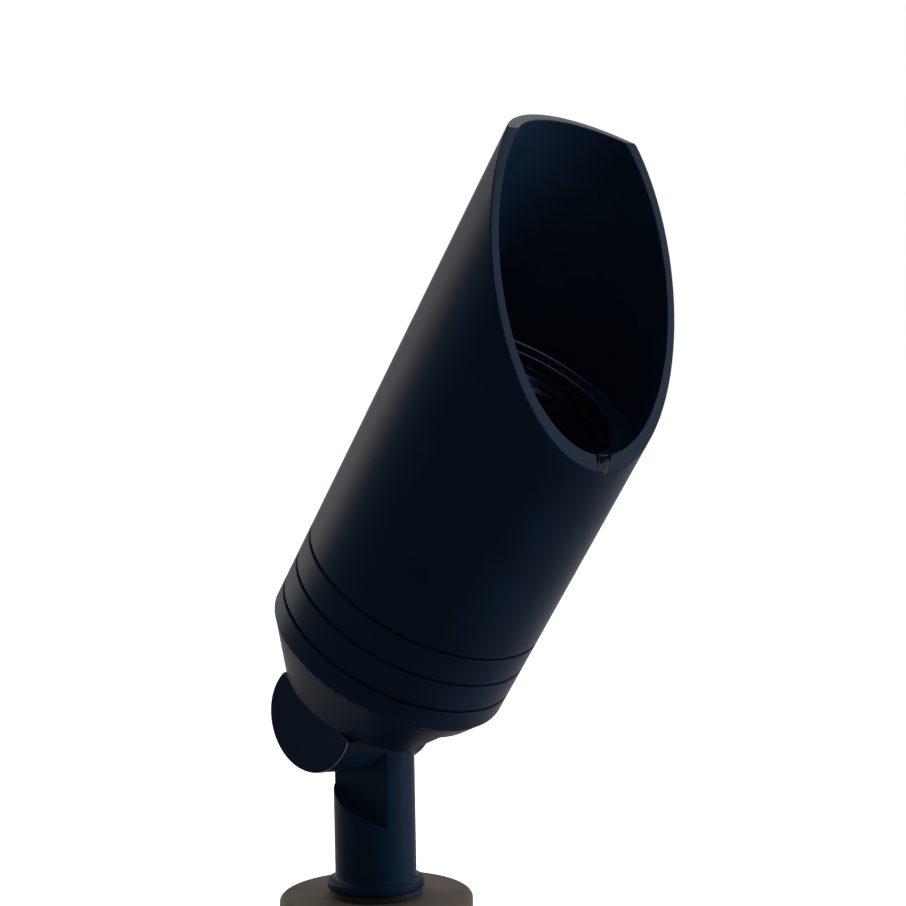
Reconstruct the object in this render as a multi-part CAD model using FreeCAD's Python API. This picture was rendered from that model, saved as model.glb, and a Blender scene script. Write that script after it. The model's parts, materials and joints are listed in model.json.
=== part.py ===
"""Garden spike spotlight: a 12 V uplight on a two-disc aiming knuckle, stem and ground stake.

Units are millimetres. The origin is on the stem's axis in the plane of the soil, which is the
underside of the stake's cap. +Z runs up the stem and +X is the way that the light leans.

The lamp head is drawn in its own head frame and then aimed. There the origin is the middle of
the knuckle, +Y is the knuckle's axis, +Z is the way that the light shines and +X is the side
that leans down. The tube's centre line stands a little off the knuckle's, so everything round
is drawn about the tube's own centre line first.
"""
import FreeCAD, Part
import math
import os

V = FreeCAD.Vector

# ---- clearances ----
RUNNING_GAP = 0.08        # radial room of a part that turns or slides in another
SEAT_GAP = 0.05           # room between faces that are clamped or pressed together
FREE_GAP = 0.5            # room round a part that swings past another
SCREW_HOLE_ROOM = 0.1     # radial room in a clearance hole for a small screw
OVERCUT = 1.0             # how far a cutting shape reaches past the face that it opens

# ---- aim in the photograph ----
AIM_TILT = 34.7           # tube's lean from upright, degrees
SHROUD_TURN = 4.4         # how far the shroud's low side is turned off the lean, degrees

# ---- ground stake ----
CAP_RADIUS = 25.0
CAP_THICK = 9.0
CAP_EDGE = 1.6            # rounding of the cap's upper edge
STAKE_LENGTH = 208.0      # soil plane to point
FIN_THICK = 4.0
FIN_TOP_HALF = 20.5       # half the blade's width under the cap
FIN_WAIST_HALF = 12.5     # half its width where the point starts
POINT_LENGTH = 48.0
CORE_RADIUS = 5.5
HUB_RADIUS = 15.0
HUB_LENGTH = 27.0
HUB_DRAFT = 1.2           # how much smaller the hub's radius is at its foot
WIRE_WINDOW_WIDTH = 9.0
WIRE_WINDOW_HEIGHT = 9.0
CHAMBER_ROOM = 1.0        # height between the grommet's lip and the wire window

# ---- stem ----
STEM_RADIUS = 10.5
THREAD_RADIUS = 10.35     # half-inch pipe thread, drawn as its crest cylinder
THREAD_LENGTH = 15.8
FLANGE_RADIUS = 12.55
FLANGE_THICK = 2.5
FLANGE_EDGE = 0.8
FOOT_FILLET = 1.2
SEAL_THICK = 1.8          # rubber washer between flange and cap
SEAL_INSET = 0.5          # how far its rim stands back from the flange's
HINGE_ABOVE_CAP = 48.4
WIRE_BORE_RADIUS = 3.6
WIRE_BORE_SHIFT = 0.7     # away from the flat, to keep the wall there
LEDGE_ROOM = 3.4          # room between the swung tail and the ledge, on the stem's axis
LEDGE_SLOPE = 28.0        # degrees, falling to the leaning side

# ---- knuckle ----
KNUCKLE_SHIFT = -2.6      # knuckle's axis from the stem's axis, along X
JOINT_OFFSET = 5.24       # joint plane from the stem's axis
HEAD_RADIUS = 15.6
HEAD_BACK = 10.5          # stem head's far face from the stem's axis
HEAD_EDGE = 0.7
LUG_FACE = 20.5           # lug's outer face from the stem's axis
LUG_FACE_RADIUS = 14.0
LUG_EDGE = 0.45
WIREWAY_INNER = 6.0       # ring-shaped hollow round the screw's boss, for the wires
WIREWAY_OUTER = 11.0
WIREWAY_IN_HEAD = 6.7
WIREWAY_IN_LUG = 9.7
KNUCKLE_SEAL_RADIUS = 13.1
KNUCKLE_SEAL_SECTION = 1.1
SCREW_RADIUS = 3.0        # M6 socket-head cap screw
SCREW_HEAD_RADIUS = 5.0
SCREW_HEAD_HEIGHT = 5.8
SCREW_KEY = 5.0           # hex key across its flats
SCREW_KEY_DEPTH = 3.2
SCREW_GRIP = 12.0         # length of screw in the lug
SCREW_TIP_EDGE = 0.6
SCREW_HEAD_EDGE = 0.5
SCREW_BORE_ROOM = 0.2     # radial room round the screw in the stem's head
RECESS_ROOM = 0.3         # radial room round the washer and the screw's head
WASHER_RADIUS = 5.3
WASHER_THICK = 0.8
SCREW_RECESS_WALL = 8.5   # joint plane to the floor of the recess for the screw's head
KEY_WAY_RADIUS = 6.5      # half-round way in the tail for the hex key

# ---- lamp head: tube, tail and grooves; levels count from the knuckle along the tube ----
TUBE_WALL = 2.8
TUBE_SHIFT_X = -0.9       # tube's centre line from the knuckle's middle
TUBE_SHIFT_Y = -1.0
TAIL_REAR_RADIUS = 22.2
TAIL_REAR = 3.55
TAIL_TOP = 18.95
TAIL_STEP = 0.45          # shadow line between tail and drum
GROOVE_LEVELS = (25.05, 33.35)
GROOVE_WIDTH = 0.8
GROOVE_DEPTH = 0.8
SEAM = 41.7               # shroud meets housing
SPIGOT_TOP = 55.0
SPIGOT_WALL = 3.47
CAVITY_FLOOR = 21.0
SLOT_SIDE_ROOM = 0.3      # more room above the post when the tail lies level
SPIGOT_LEAD_IN = 0.6
SHROUD_SEALS = (46.0, 51.0)
SHROUD_SEAL_SECTION = 1.8

# ---- shroud's mouth and lens ----
TIP = 156.25
MOUTH_SLANT = 47.1        # mouth plane's normal from the tube's axis, degrees
MOUTH_CENTRE = 132.45     # where the mouth plane meets the tube's centre line
LIP_TOP = 97.8
LIP_THICK = 1.6
LIP_WIDTH = 4.75
DRAIN_WIDTH = 4.6
DRAIN_DEPTH = 3.2
SHROUD_LEAD_IN = 0.8
LENS_THICK = 3.2
LENS_ROOM = 0.3
GASKET_ROOM = 0.15
LENS_EDGE = 0.4
GASKET_THICK = 1.0
GASKET_WIDTH = 4.0
RING_THICK = 1.2
RING_WIDTH = 3.1
RING_GROOVE = 0.65        # depth of the clip ring's groove in the tube's wall
RING_OPENING = 9.0
RING_EYE_RADIUS = 0.9

# ---- lamp, 50 mm reflector size with two pins ----
LAMP_RADIUS = 25.0
LAMP_SIDE_ROOM = 3.95     # room between the lamp and the tube
LAMP_RIM_WALL = 2.4       # rim's wall round the optic
LAMP_RIM_FLOOR = 1.3      # rim's floor under the board
LAMP_LENGTH = 44.0
LAMP_BASE_LENGTH = 8.0
LAMP_NECK_RADIUS = 10.5
LAMP_BASE_RADIUS = 9.5
LAMP_FINS = 12
LAMP_FIN_GAP = 2.6
LAMP_CORE_DRAW = 3.5      # depth of the gaps between the fins
LAMP_RIM_STEP = 1.5       # how far the fins stand back under the rim
LAMP_FIN_RISE = 3.0       # where the gaps start above the neck
LAMP_BULGE = 0.62         # radius halfway up the fins, as a share of neck to rim
LAMP_PIN_RADIUS = 0.8
LAMP_PIN_SPACING = 5.3
LAMP_PIN_LENGTH = 7.0
LAMP_PIN_ROOT = 4.0       # length of pin inside the lamp's foot
LAMP_PIN_EDGE = 0.3
LAMP_BASE_EDGE = 1.5
OPTIC_THICK = 2.6
OPTIC_LENSES = 3
OPTIC_LENS_RADIUS = 8.0
OPTIC_LENS_CIRCLE = 10.6
OPTIC_LENS_DEPTH = 1.4
BOARD_THICK = 1.6
BOARD_DROP = 1.0          # board's face under the optic's
BOARD_ROOM = 0.3
CHIP_WIDTH = 3.5
CHIP_HEIGHT = 0.7

# ---- socket and bracket ----
SOCKET_HEIGHT = 12.0
SOCKET_EAR_HEIGHT = 5.0
SOCKET_WIDTH = 11.0
SOCKET_LENGTH = 25.0
SOCKET_TOWER = 13.0
SOCKET_CORNER = 2.0
SOCKET_UNDER_LAMP = 0.3
SMALL_SCREW_RADIUS = 1.5
SMALL_SCREW_HEAD = 2.7
SMALL_SCREW_HEAD_HEIGHT = 2.0
SMALL_SCREW_DOME = 0.8
SMALL_SCREW_SLOT = 0.7
SMALL_SCREW_SLOT_DEPTH = 0.9
SOCKET_SCREW_SIDE_ROOM = 0.3
SOCKET_SCREW_LENGTH = 8.0
CONTACT_WALL = 0.6
CONTACT_LENGTH = 8.4
CONTACT_SINK = 2.0        # contacts' upper end under the socket's face
BRACKET_THICK = 1.2
BRACKET_TOP_HALF = 9.5
BRACKET_STRAP = 13.0
BRACKET_END_ROOM = 3.9    # room between the bracket's foot and the cavity's wall
BRACKET_SCREW_INSET = 4.5 # screw from the foot's end
BRACKET_SCREW_LENGTH = 6.0
BRACKET_SLOT = 9.5
BRACKET_SLOT_HALF = 2.2
SCREW_HOLE_END = 0.5      # free depth under a screw in a blind hole

# ---- leads and grommets ----
LEAD_RADIUS = 0.8
LEAD_SPACING = 3.2
CABLE_WAY_RADIUS = 4.0
CABLE_WAY_PLACE = 10.5    # from the stem's axis, in the lug
CABLE_WAY_FOOT = 8.0
PLUG_LENGTH = 7.0
PLUG_FLANGE_RADIUS = 5.8
PLUG_FLANGE_THICK = 1.5
LEAD_STRAIGHT = 4.2       # straight run of each lead under the socket
LEAD_RISE = 2.6           # straight run of each lead over the plug
LEAD_BEND_SHARE = 0.45    # share of the shorter run that a bend may take up
CORD_HOLE_RADIUS = 2.9
FOOT_PLUG_RADIUS = 6.2
FOOT_PLUG_LENGTH = 4.5
FOOT_PLUG_LIP = 1.2
FOOT_PLUG_LIP_RADIUS = 7.6

# ---- worked out from the sizes above ----
FLANGE_BASE = CAP_THICK + SEAL_THICK
FLANGE_TOP = FLANGE_BASE + FLANGE_THICK
THREAD_FOOT = FLANGE_BASE - THREAD_LENGTH
HINGE_Z = CAP_THICK + HINGE_ABOVE_CAP
BORE_RADIUS = LAMP_RADIUS + LAMP_SIDE_ROOM
TUBE_RADIUS = BORE_RADIUS + TUBE_WALL
SPIGOT_RADIUS = BORE_RADIUS - RUNNING_GAP
CAVITY_RADIUS = SPIGOT_RADIUS - SPIGOT_WALL
LIP_RADIUS = BORE_RADIUS - LIP_WIDTH
SLOT_TOP = STEM_RADIUS - KNUCKLE_SHIFT + FREE_GAP + SLOT_SIDE_ROOM
POCKET_RADIUS = HEAD_RADIUS + FREE_GAP
POCKET_BACK = HEAD_BACK + FREE_GAP
LENS_TOP = LIP_TOP - LIP_THICK - GASKET_THICK
LENS_FOOT = LENS_TOP - LENS_THICK
RING_FOOT = LENS_FOOT - RING_THICK
LAMP_FACE = LENS_FOOT - FREE_GAP
LAMP_FOOT = LAMP_FACE - LAMP_LENGTH
LAMP_NECK = LAMP_FOOT + LAMP_BASE_LENGTH
OPTIC_RADIUS = LAMP_RADIUS - LAMP_RIM_WALL
BOARD_FOOT = LAMP_FACE - OPTIC_THICK - BOARD_DROP - BOARD_THICK
RIM_FOOT = BOARD_FOOT - LAMP_RIM_FLOOR
BRACKET_FOOT_END = CAVITY_RADIUS - BRACKET_END_ROOM
BRACKET_SCREW_PLACE = BRACKET_FOOT_END - BRACKET_SCREW_INSET
SOCKET_TOP = LAMP_FOOT - SOCKET_UNDER_LAMP
SOCKET_FOOT = SOCKET_TOP - SOCKET_HEIGHT
SOCKET_SCREW_PLACE = SOCKET_TOWER / 2 + SMALL_SCREW_HEAD + SOCKET_SCREW_SIDE_ROOM
CONTACT_RADIUS = LAMP_PIN_RADIUS + SEAT_GAP + CONTACT_WALL
CONTACT_TOP = SOCKET_TOP - CONTACT_SINK
CONTACT_FOOT = CONTACT_TOP - CONTACT_LENGTH


def about_z(points):
    """Solid of revolution about Z from a closed outline of (radius, height) points."""
    corners = [V(radius, 0, height) for radius, height in points]
    outline = Part.makePolygon(corners + corners[:1])
    return Part.Face(outline).revolve(V(0, 0, 0), V(0, 0, 1), 360)


def disc(radius, low, high):
    """Upright cylinder between two heights."""
    return Part.makeCylinder(radius, high - low, V(0, 0, low))


def ring(inner, outer, low, high):
    """Upright tube between two heights."""
    return disc(outer, low, high).cut(disc(inner, low - OVERCUT, high + OVERCUT))


def disc_y(radius, low, high):
    """Cylinder along Y about the origin, between two places on Y."""
    return Part.makeCylinder(radius, high - low, V(0, low, 0), V(0, 1, 0))


def ring_y(inner, outer, low, high):
    """Tube along Y about the origin."""
    return disc_y(outer, low, high).cut(disc_y(inner, low - OVERCUT, high + OVERCUT))


def block(x_low, x_high, y_low, y_high, z_low, z_high):
    """Box between two corners."""
    return Part.makeBox(x_high - x_low, y_high - y_low, z_high - z_low, V(x_low, y_low, z_low))


def o_ring(radius, section, level):
    """Rubber ring about Z whose section is an octagon of this half width."""
    reach = section / math.cos(math.pi / 8)
    turns = [math.radians(22.5 + 45 * number) for number in range(8)]
    return about_z([(radius + reach * math.cos(turn), level + reach * math.sin(turn))
                    for turn in turns])


def moved(shape, x=0.0, y=0.0, z=0.0):
    """The shape, shifted."""
    result = shape.copy()
    result.translate(V(x, y, z))
    return result


def turned(shape, degrees, axis=V(0, 0, 1)):
    """The shape, turned about an axis through the origin."""
    result = shape.copy()
    result.rotate(V(0, 0, 0), axis, degrees)
    return result


def fused(shapes):
    """One solid from touching or overlapping shapes, without leftover seams."""
    return shapes[0].multiFuse(shapes[1:]).removeSplitter()


def rounded(shape, radius, wanted):
    """The shape with every edge that the test picks rounded."""
    return shape.makeFillet(radius, [edge for edge in shape.Edges if wanted(edge)])


def chamfered(shape, size, wanted):
    """The shape with every edge that the test picks chamfered."""
    return shape.makeChamfer(size, [edge for edge in shape.Edges if wanted(edge)])


def is_circle(edge, radius, place, axis="z"):
    """Whether an edge is a full circle of this radius at this place on the axis."""
    curve = edge.Curve
    if not isinstance(curve, Part.Circle):
        return False
    centre = getattr(curve.Center, axis)
    return abs(curve.Radius - radius) < 1e-4 and abs(centre - place) < 1e-4


def on_tube(shape):
    """From the tube's centre line to the head frame."""
    return moved(shape, TUBE_SHIFT_X, TUBE_SHIFT_Y)


def on_knuckle(shape):
    """From the knuckle's middle to the part's frame, upright."""
    return moved(shape, x=KNUCKLE_SHIFT, z=HINGE_Z)


def aimed(shape):
    """From the head frame to the part's frame, at the aim in the photograph."""
    return on_knuckle(turned(shape, AIM_TILT, V(0, 1, 0)))


# ---- stake and stem ----

def ground_stake():
    """Moulded stake: round cap, threaded hub with a wire window, four crossed blades."""
    cap = disc(CAP_RADIUS, 0, CAP_THICK)
    cap = rounded(cap, CAP_EDGE, lambda edge: is_circle(edge, CAP_RADIUS, CAP_THICK))
    hub = Part.makeCone(HUB_RADIUS - HUB_DRAFT, HUB_RADIUS, HUB_LENGTH, V(0, 0, -HUB_LENGTH))
    waist = -(STAKE_LENGTH - POINT_LENGTH)
    core = Part.makeCone(FIN_THICK / 2, CORE_RADIUS, -waist, V(0, 0, waist))
    corners = [V(-FIN_TOP_HALF, 0, 0), V(FIN_TOP_HALF, 0, 0), V(FIN_WAIST_HALF, 0, waist),
               V(0, 0, -STAKE_LENGTH), V(-FIN_WAIST_HALF, 0, waist)]
    outline = Part.makePolygon(corners + corners[:1])
    blade = moved(Part.Face(outline).extrude(V(0, FIN_THICK, 0)), y=-FIN_THICK / 2)
    body = fused([cap, hub, core, turned(blade, 45), turned(blade, -45)])
    window_top = THREAD_FOOT - FOOT_PLUG_LIP - CHAMBER_ROOM
    window_foot = window_top - WIRE_WINDOW_HEIGHT
    threaded = disc(THREAD_RADIUS + RUNNING_GAP, window_top, CAP_THICK + OVERCUT)
    chamber = disc(FOOT_PLUG_LIP_RADIUS, window_foot, window_top + OVERCUT)
    window = block(-CAP_RADIUS, CAP_RADIUS, -WIRE_WINDOW_WIDTH / 2, WIRE_WINDOW_WIDTH / 2,
                   window_foot, window_top)
    return body.cut([threaded, chamber, window])


def stem_seal():
    """Rubber washer between the stem's flange and the cap."""
    return ring(THREAD_RADIUS + RUNNING_GAP, FLANGE_RADIUS - SEAL_INSET, CAP_THICK, FLANGE_BASE)


def ledge_cutter():
    """What is milled off the lug's side of the stem: flat above, sloping ledge below."""
    swung_tail = TAIL_REAR_RADIUS + TUBE_SHIFT_X
    depth = swung_tail + LEDGE_ROOM
    reach = 2 * STEM_RADIUS
    rise = reach * math.tan(math.radians(LEDGE_SLOPE))
    corners = [V(-reach, 0, rise - depth), V(reach, 0, -rise - depth), V(reach, 0, HEAD_RADIUS),
               V(-reach, 0, HEAD_RADIUS)]
    outline = Part.makePolygon(corners + corners[:1])
    cutter = Part.Face(outline).extrude(V(0, -reach, 0))
    return moved(cutter, y=-JOINT_OFFSET, z=HINGE_Z)


def stem():
    """Cast stem: pipe-threaded foot, flange, post with its flat, and the knuckle's round head."""
    foot = disc(THREAD_RADIUS, THREAD_FOOT, FLANGE_BASE)
    flange = disc(FLANGE_RADIUS, FLANGE_BASE, FLANGE_TOP)
    flange = rounded(flange, FLANGE_EDGE, lambda edge: isinstance(edge.Curve, Part.Circle))
    post = disc(STEM_RADIUS, FLANGE_TOP - FLANGE_EDGE, HINGE_Z)
    body = fused([foot, flange, post])
    body = rounded(body, FOOT_FILLET, lambda edge: is_circle(edge, STEM_RADIUS, FLANGE_TOP))
    body = body.cut(ledge_cutter())
    head = disc_y(HEAD_RADIUS, -JOINT_OFFSET, HEAD_BACK)
    head = chamfered(head, HEAD_EDGE, lambda edge: is_circle(edge, HEAD_RADIUS, HEAD_BACK, "y"))
    body = fused([body, on_knuckle(head)])

    open_face = -JOINT_OFFSET - OVERCUT
    recess_floor = SCREW_RECESS_WALL - JOINT_OFFSET
    groove_half = KNUCKLE_SEAL_SECTION / 2 + SEAT_GAP
    hollows = fused([
        ring_y(WIREWAY_INNER, WIREWAY_OUTER, open_face, WIREWAY_IN_HEAD - JOINT_OFFSET),
        disc_y(SCREW_RADIUS + SCREW_BORE_ROOM, open_face, recess_floor + OVERCUT),
        disc_y(WASHER_RADIUS + RECESS_ROOM, recess_floor, HEAD_BACK + OVERCUT),
        ring_y(KNUCKLE_SEAL_RADIUS - groove_half, KNUCKLE_SEAL_RADIUS + groove_half,
               open_face, KNUCKLE_SEAL_SECTION + SEAT_GAP - JOINT_OFFSET)])
    bore_top = HINGE_Z - (WIREWAY_INNER + WIREWAY_OUTER) / 2
    open_foot = THREAD_FOOT - OVERCUT
    bore = moved(disc(WIRE_BORE_RADIUS, open_foot, bore_top), y=WIRE_BORE_SHIFT)
    seat = disc(FOOT_PLUG_RADIUS + SEAT_GAP, open_foot, THREAD_FOOT + FOOT_PLUG_LENGTH)
    return body.cut([on_knuckle(hollows), bore, seat])


def stem_grommet():
    """Rubber bush in the stem's foot that the supply cord passes through."""
    barrel = disc(FOOT_PLUG_RADIUS, THREAD_FOOT, THREAD_FOOT + FOOT_PLUG_LENGTH - SEAT_GAP)
    lip = disc(FOOT_PLUG_LIP_RADIUS - RUNNING_GAP, THREAD_FOOT - FOOT_PLUG_LIP, THREAD_FOOT)
    hole = disc(CORD_HOLE_RADIUS, THREAD_FOOT - FOOT_PLUG_LIP - OVERCUT,
                THREAD_FOOT + FOOT_PLUG_LENGTH + OVERCUT)
    return fused([barrel, lip]).cut(hole)


# ---- knuckle ----

def knuckle_seal():
    """O-ring in the groove of the stem's head, under the lug's face."""
    section = KNUCKLE_SEAL_SECTION / 2
    upright = o_ring(KNUCKLE_SEAL_RADIUS, section, JOINT_OFFSET - section)
    return on_knuckle(turned(upright, 90, V(1, 0, 0)))


def knuckle_washer():
    """Plain washer under the knuckle screw's head."""
    low = SCREW_RECESS_WALL - JOINT_OFFSET
    washer = ring_y(SCREW_RADIUS + RUNNING_GAP, WASHER_RADIUS, low, low + WASHER_THICK)
    return on_knuckle(washer)


def knuckle_screw():
    """Socket-head cap screw that clamps the two knuckle discs together."""
    under_head = SCREW_RECESS_WALL - JOINT_OFFSET + WASHER_THICK
    head_top = under_head + SCREW_HEAD_HEIGHT
    tip = -JOINT_OFFSET - SCREW_GRIP
    shank = disc_y(SCREW_RADIUS, tip, under_head)
    shank = chamfered(shank, SCREW_TIP_EDGE, lambda edge: is_circle(edge, SCREW_RADIUS, tip, "y"))
    head = disc_y(SCREW_HEAD_RADIUS, under_head, head_top)
    head = chamfered(head, SCREW_HEAD_EDGE,
                     lambda edge: is_circle(edge, SCREW_HEAD_RADIUS, head_top, "y"))
    corner = SCREW_KEY / math.sqrt(3)
    turns = [math.radians(60 * number) for number in range(7)]
    hexagon = Part.makePolygon([V(corner * math.cos(turn), head_top, corner * math.sin(turn))
                                for turn in turns])
    key_hole = Part.Face(hexagon).extrude(V(0, -SCREW_KEY_DEPTH, 0))
    return on_knuckle(fused([shank, head]).cut(key_hole))


# ---- lamp head ----

def knuckle_lug():
    """The housing's half of the knuckle: a drafted disc whose flat face shows."""
    length = LUG_FACE - JOINT_OFFSET - SEAT_GAP
    lug = Part.makeCone(LUG_FACE_RADIUS, HEAD_RADIUS, length, V(0, -LUG_FACE, 0), V(0, 1, 0))
    lug = chamfered(lug, LUG_EDGE, lambda edge: is_circle(edge, LUG_FACE_RADIUS, -LUG_FACE, "y"))
    above = block(-2 * HEAD_RADIUS, 2 * HEAD_RADIUS, -LUG_FACE - OVERCUT, 0, TAIL_REAR,
                  2 * HEAD_RADIUS)
    return lug.cut(above)


def housing_outside():
    """Tail cone, grooved drum and the spigot that the shroud slides over, about the tube."""
    rim = TUBE_RADIUS - TAIL_STEP
    rebate = TUBE_RADIUS - GROOVE_DEPTH
    seam_low = SEAM - GROOVE_WIDTH / 2
    shoulder = SEAM + GROOVE_WIDTH / 2 - SEAT_GAP
    lead_in = SPIGOT_LEAD_IN
    outline = [(0, TAIL_REAR), (TAIL_REAR_RADIUS, TAIL_REAR), (rim, TAIL_TOP - TAIL_STEP),
               (rim, TAIL_TOP), (TUBE_RADIUS, TAIL_TOP), (TUBE_RADIUS, seam_low),
               (rebate, seam_low), (rebate, shoulder), (SPIGOT_RADIUS, shoulder),
               (SPIGOT_RADIUS, SPIGOT_TOP - lead_in), (SPIGOT_RADIUS - lead_in, SPIGOT_TOP),
               (0, SPIGOT_TOP)]
    body = about_z(outline)
    half = GROOVE_WIDTH / 2
    grooves = [ring(rebate, TUBE_RADIUS + OVERCUT, level - half, level + half)
               for level in GROOVE_LEVELS]
    seal_floor = BORE_RADIUS - SEAT_GAP - SHROUD_SEAL_SECTION - SEAT_GAP
    seal_half = SHROUD_SEAL_SECTION / 2 + SEAT_GAP
    grooves += [ring(seal_floor, TUBE_RADIUS, level - seal_half, level + seal_half)
                for level in SHROUD_SEALS]
    return body.cut(grooves)


def housing_screw_holes():
    """Blind holes in the cavity's floor for the bracket's screws, about the tube."""
    depth = BRACKET_SCREW_LENGTH - BRACKET_THICK + SCREW_HOLE_END
    hole = disc(SMALL_SCREW_RADIUS + SEAT_GAP, CAVITY_FLOOR - depth, CAVITY_FLOOR + OVERCUT)
    return [moved(hole, side * BRACKET_SCREW_PLACE) for side in (-1, 1)]


def rear_housing():
    """Cast housing: drum with its cavity, tail cone, knuckle lug and the pocket for the stem."""
    body = fused([on_tube(housing_outside()), knuckle_lug()])
    joint = -JOINT_OFFSET - SEAT_GAP
    pocket = disc_y(POCKET_RADIUS, joint, POCKET_BACK)
    slot = block(0, 2 * TUBE_RADIUS, joint, POCKET_BACK, -2 * HEAD_RADIUS, SLOT_TOP)
    key_way = disc_y(KEY_WAY_RADIUS, POCKET_BACK - OVERCUT, 2 * TUBE_RADIUS)
    wireway = ring_y(WIREWAY_INNER, WIREWAY_OUTER, joint - WIREWAY_IN_LUG, joint + OVERCUT)
    thread = disc_y(SCREW_RADIUS + SEAT_GAP, -JOINT_OFFSET - SCREW_GRIP - SCREW_HOLE_END,
                    joint + OVERCUT)
    cable_way = moved(disc(CABLE_WAY_RADIUS, CABLE_WAY_FOOT, CAVITY_FLOOR + OVERCUT),
                      y=-CABLE_WAY_PLACE)
    cavity = on_tube(disc(CAVITY_RADIUS, CAVITY_FLOOR, SPIGOT_TOP + OVERCUT))
    holes = [on_tube(hole) for hole in housing_screw_holes()]
    body = body.cut([pocket, slot, key_way, wireway, thread, cable_way, cavity] + holes)
    return aimed(body)


def shroud_seals():
    """Two O-rings on the spigot, which seal and grip the shroud."""
    section = SHROUD_SEAL_SECTION / 2
    centre = BORE_RADIUS - SEAT_GAP - section
    rings = [o_ring(centre, section, level) for level in SHROUD_SEALS]
    return aimed(on_tube(Part.makeCompound(rings)))


def mouth_cutter():
    """Everything in front of the slanted mouth plane."""
    size = 4 * TUBE_RADIUS
    cutter = block(-size, size, -size, size, 0, size)
    cutter = turned(cutter, MOUTH_SLANT, V(0, 1, 0))
    return moved(cutter, z=MOUTH_CENTRE)


def drain_cutter():
    """V-shaped drain through the wall at the mouth's lowest point, down to the lip."""
    foot = LIP_TOP + SEAT_GAP
    top = foot + DRAIN_DEPTH
    corners = [V(0, 0, foot), V(0, DRAIN_WIDTH / 2, top), V(0, -DRAIN_WIDTH / 2, top)]
    outline = Part.makePolygon(corners + corners[:1])
    return moved(Part.Face(outline).extrude(V(2 * TUBE_WALL, 0, 0)), x=BORE_RADIUS - TUBE_WALL)


def shroud():
    """Tube with a slanted mouth, the lens lip and a groove for the clip ring."""
    foot = SEAM + GROOVE_WIDTH / 2
    lead_in = SHROUD_LEAD_IN
    lip_foot = LIP_TOP - LIP_THICK
    outline = [(TUBE_RADIUS, foot), (TUBE_RADIUS, TIP), (BORE_RADIUS, TIP), (BORE_RADIUS, LIP_TOP),
               (LIP_RADIUS, LIP_TOP), (LIP_RADIUS, lip_foot), (BORE_RADIUS, lip_foot),
               (BORE_RADIUS, foot + lead_in), (BORE_RADIUS + lead_in, foot)]
    body = about_z(outline)
    ring_slot = ring(CAVITY_RADIUS, BORE_RADIUS + RING_GROOVE, RING_FOOT - SEAT_GAP,
                     LENS_FOOT + SEAT_GAP)
    body = body.cut([ring_slot, mouth_cutter(), drain_cutter()])
    return aimed(on_tube(turned(body, -SHROUD_TURN)))


def lens_gasket():
    """Silicone ring between the lens and the lip."""
    outer = BORE_RADIUS - GASKET_ROOM
    gasket = ring(outer - GASKET_WIDTH, outer, LENS_TOP, LENS_TOP + GASKET_THICK)
    return aimed(on_tube(gasket))


def lens():
    """Flat tempered glass."""
    radius = BORE_RADIUS - LENS_ROOM
    glass = disc(radius, LENS_FOOT, LENS_TOP)
    glass = chamfered(glass, LENS_EDGE, lambda edge: isinstance(edge.Curve, Part.Circle))
    return aimed(on_tube(glass))


def lens_clip():
    """Spring-steel clip ring with two eyes, sprung into its groove behind the lens."""
    outer = BORE_RADIUS + RING_GROOVE - SEAT_GAP
    clip = ring(outer - RING_WIDTH, outer, RING_FOOT, LENS_FOOT)
    low = RING_FOOT - OVERCUT
    high = LENS_FOOT + OVERCUT
    gap = block(0, 2 * TUBE_RADIUS, -RING_OPENING / 2, RING_OPENING / 2, low, high)
    middle = outer - RING_WIDTH / 2
    turn = math.degrees((RING_OPENING / 2 + 2 * RING_EYE_RADIUS) / middle)
    eye = moved(disc(RING_EYE_RADIUS, low, high), x=middle)
    clip = clip.cut([gap, turned(eye, turn), turned(eye, -turn)])
    return aimed(on_tube(turned(clip, 180 - SHROUD_TURN)))


# ---- lamp ----

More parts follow.
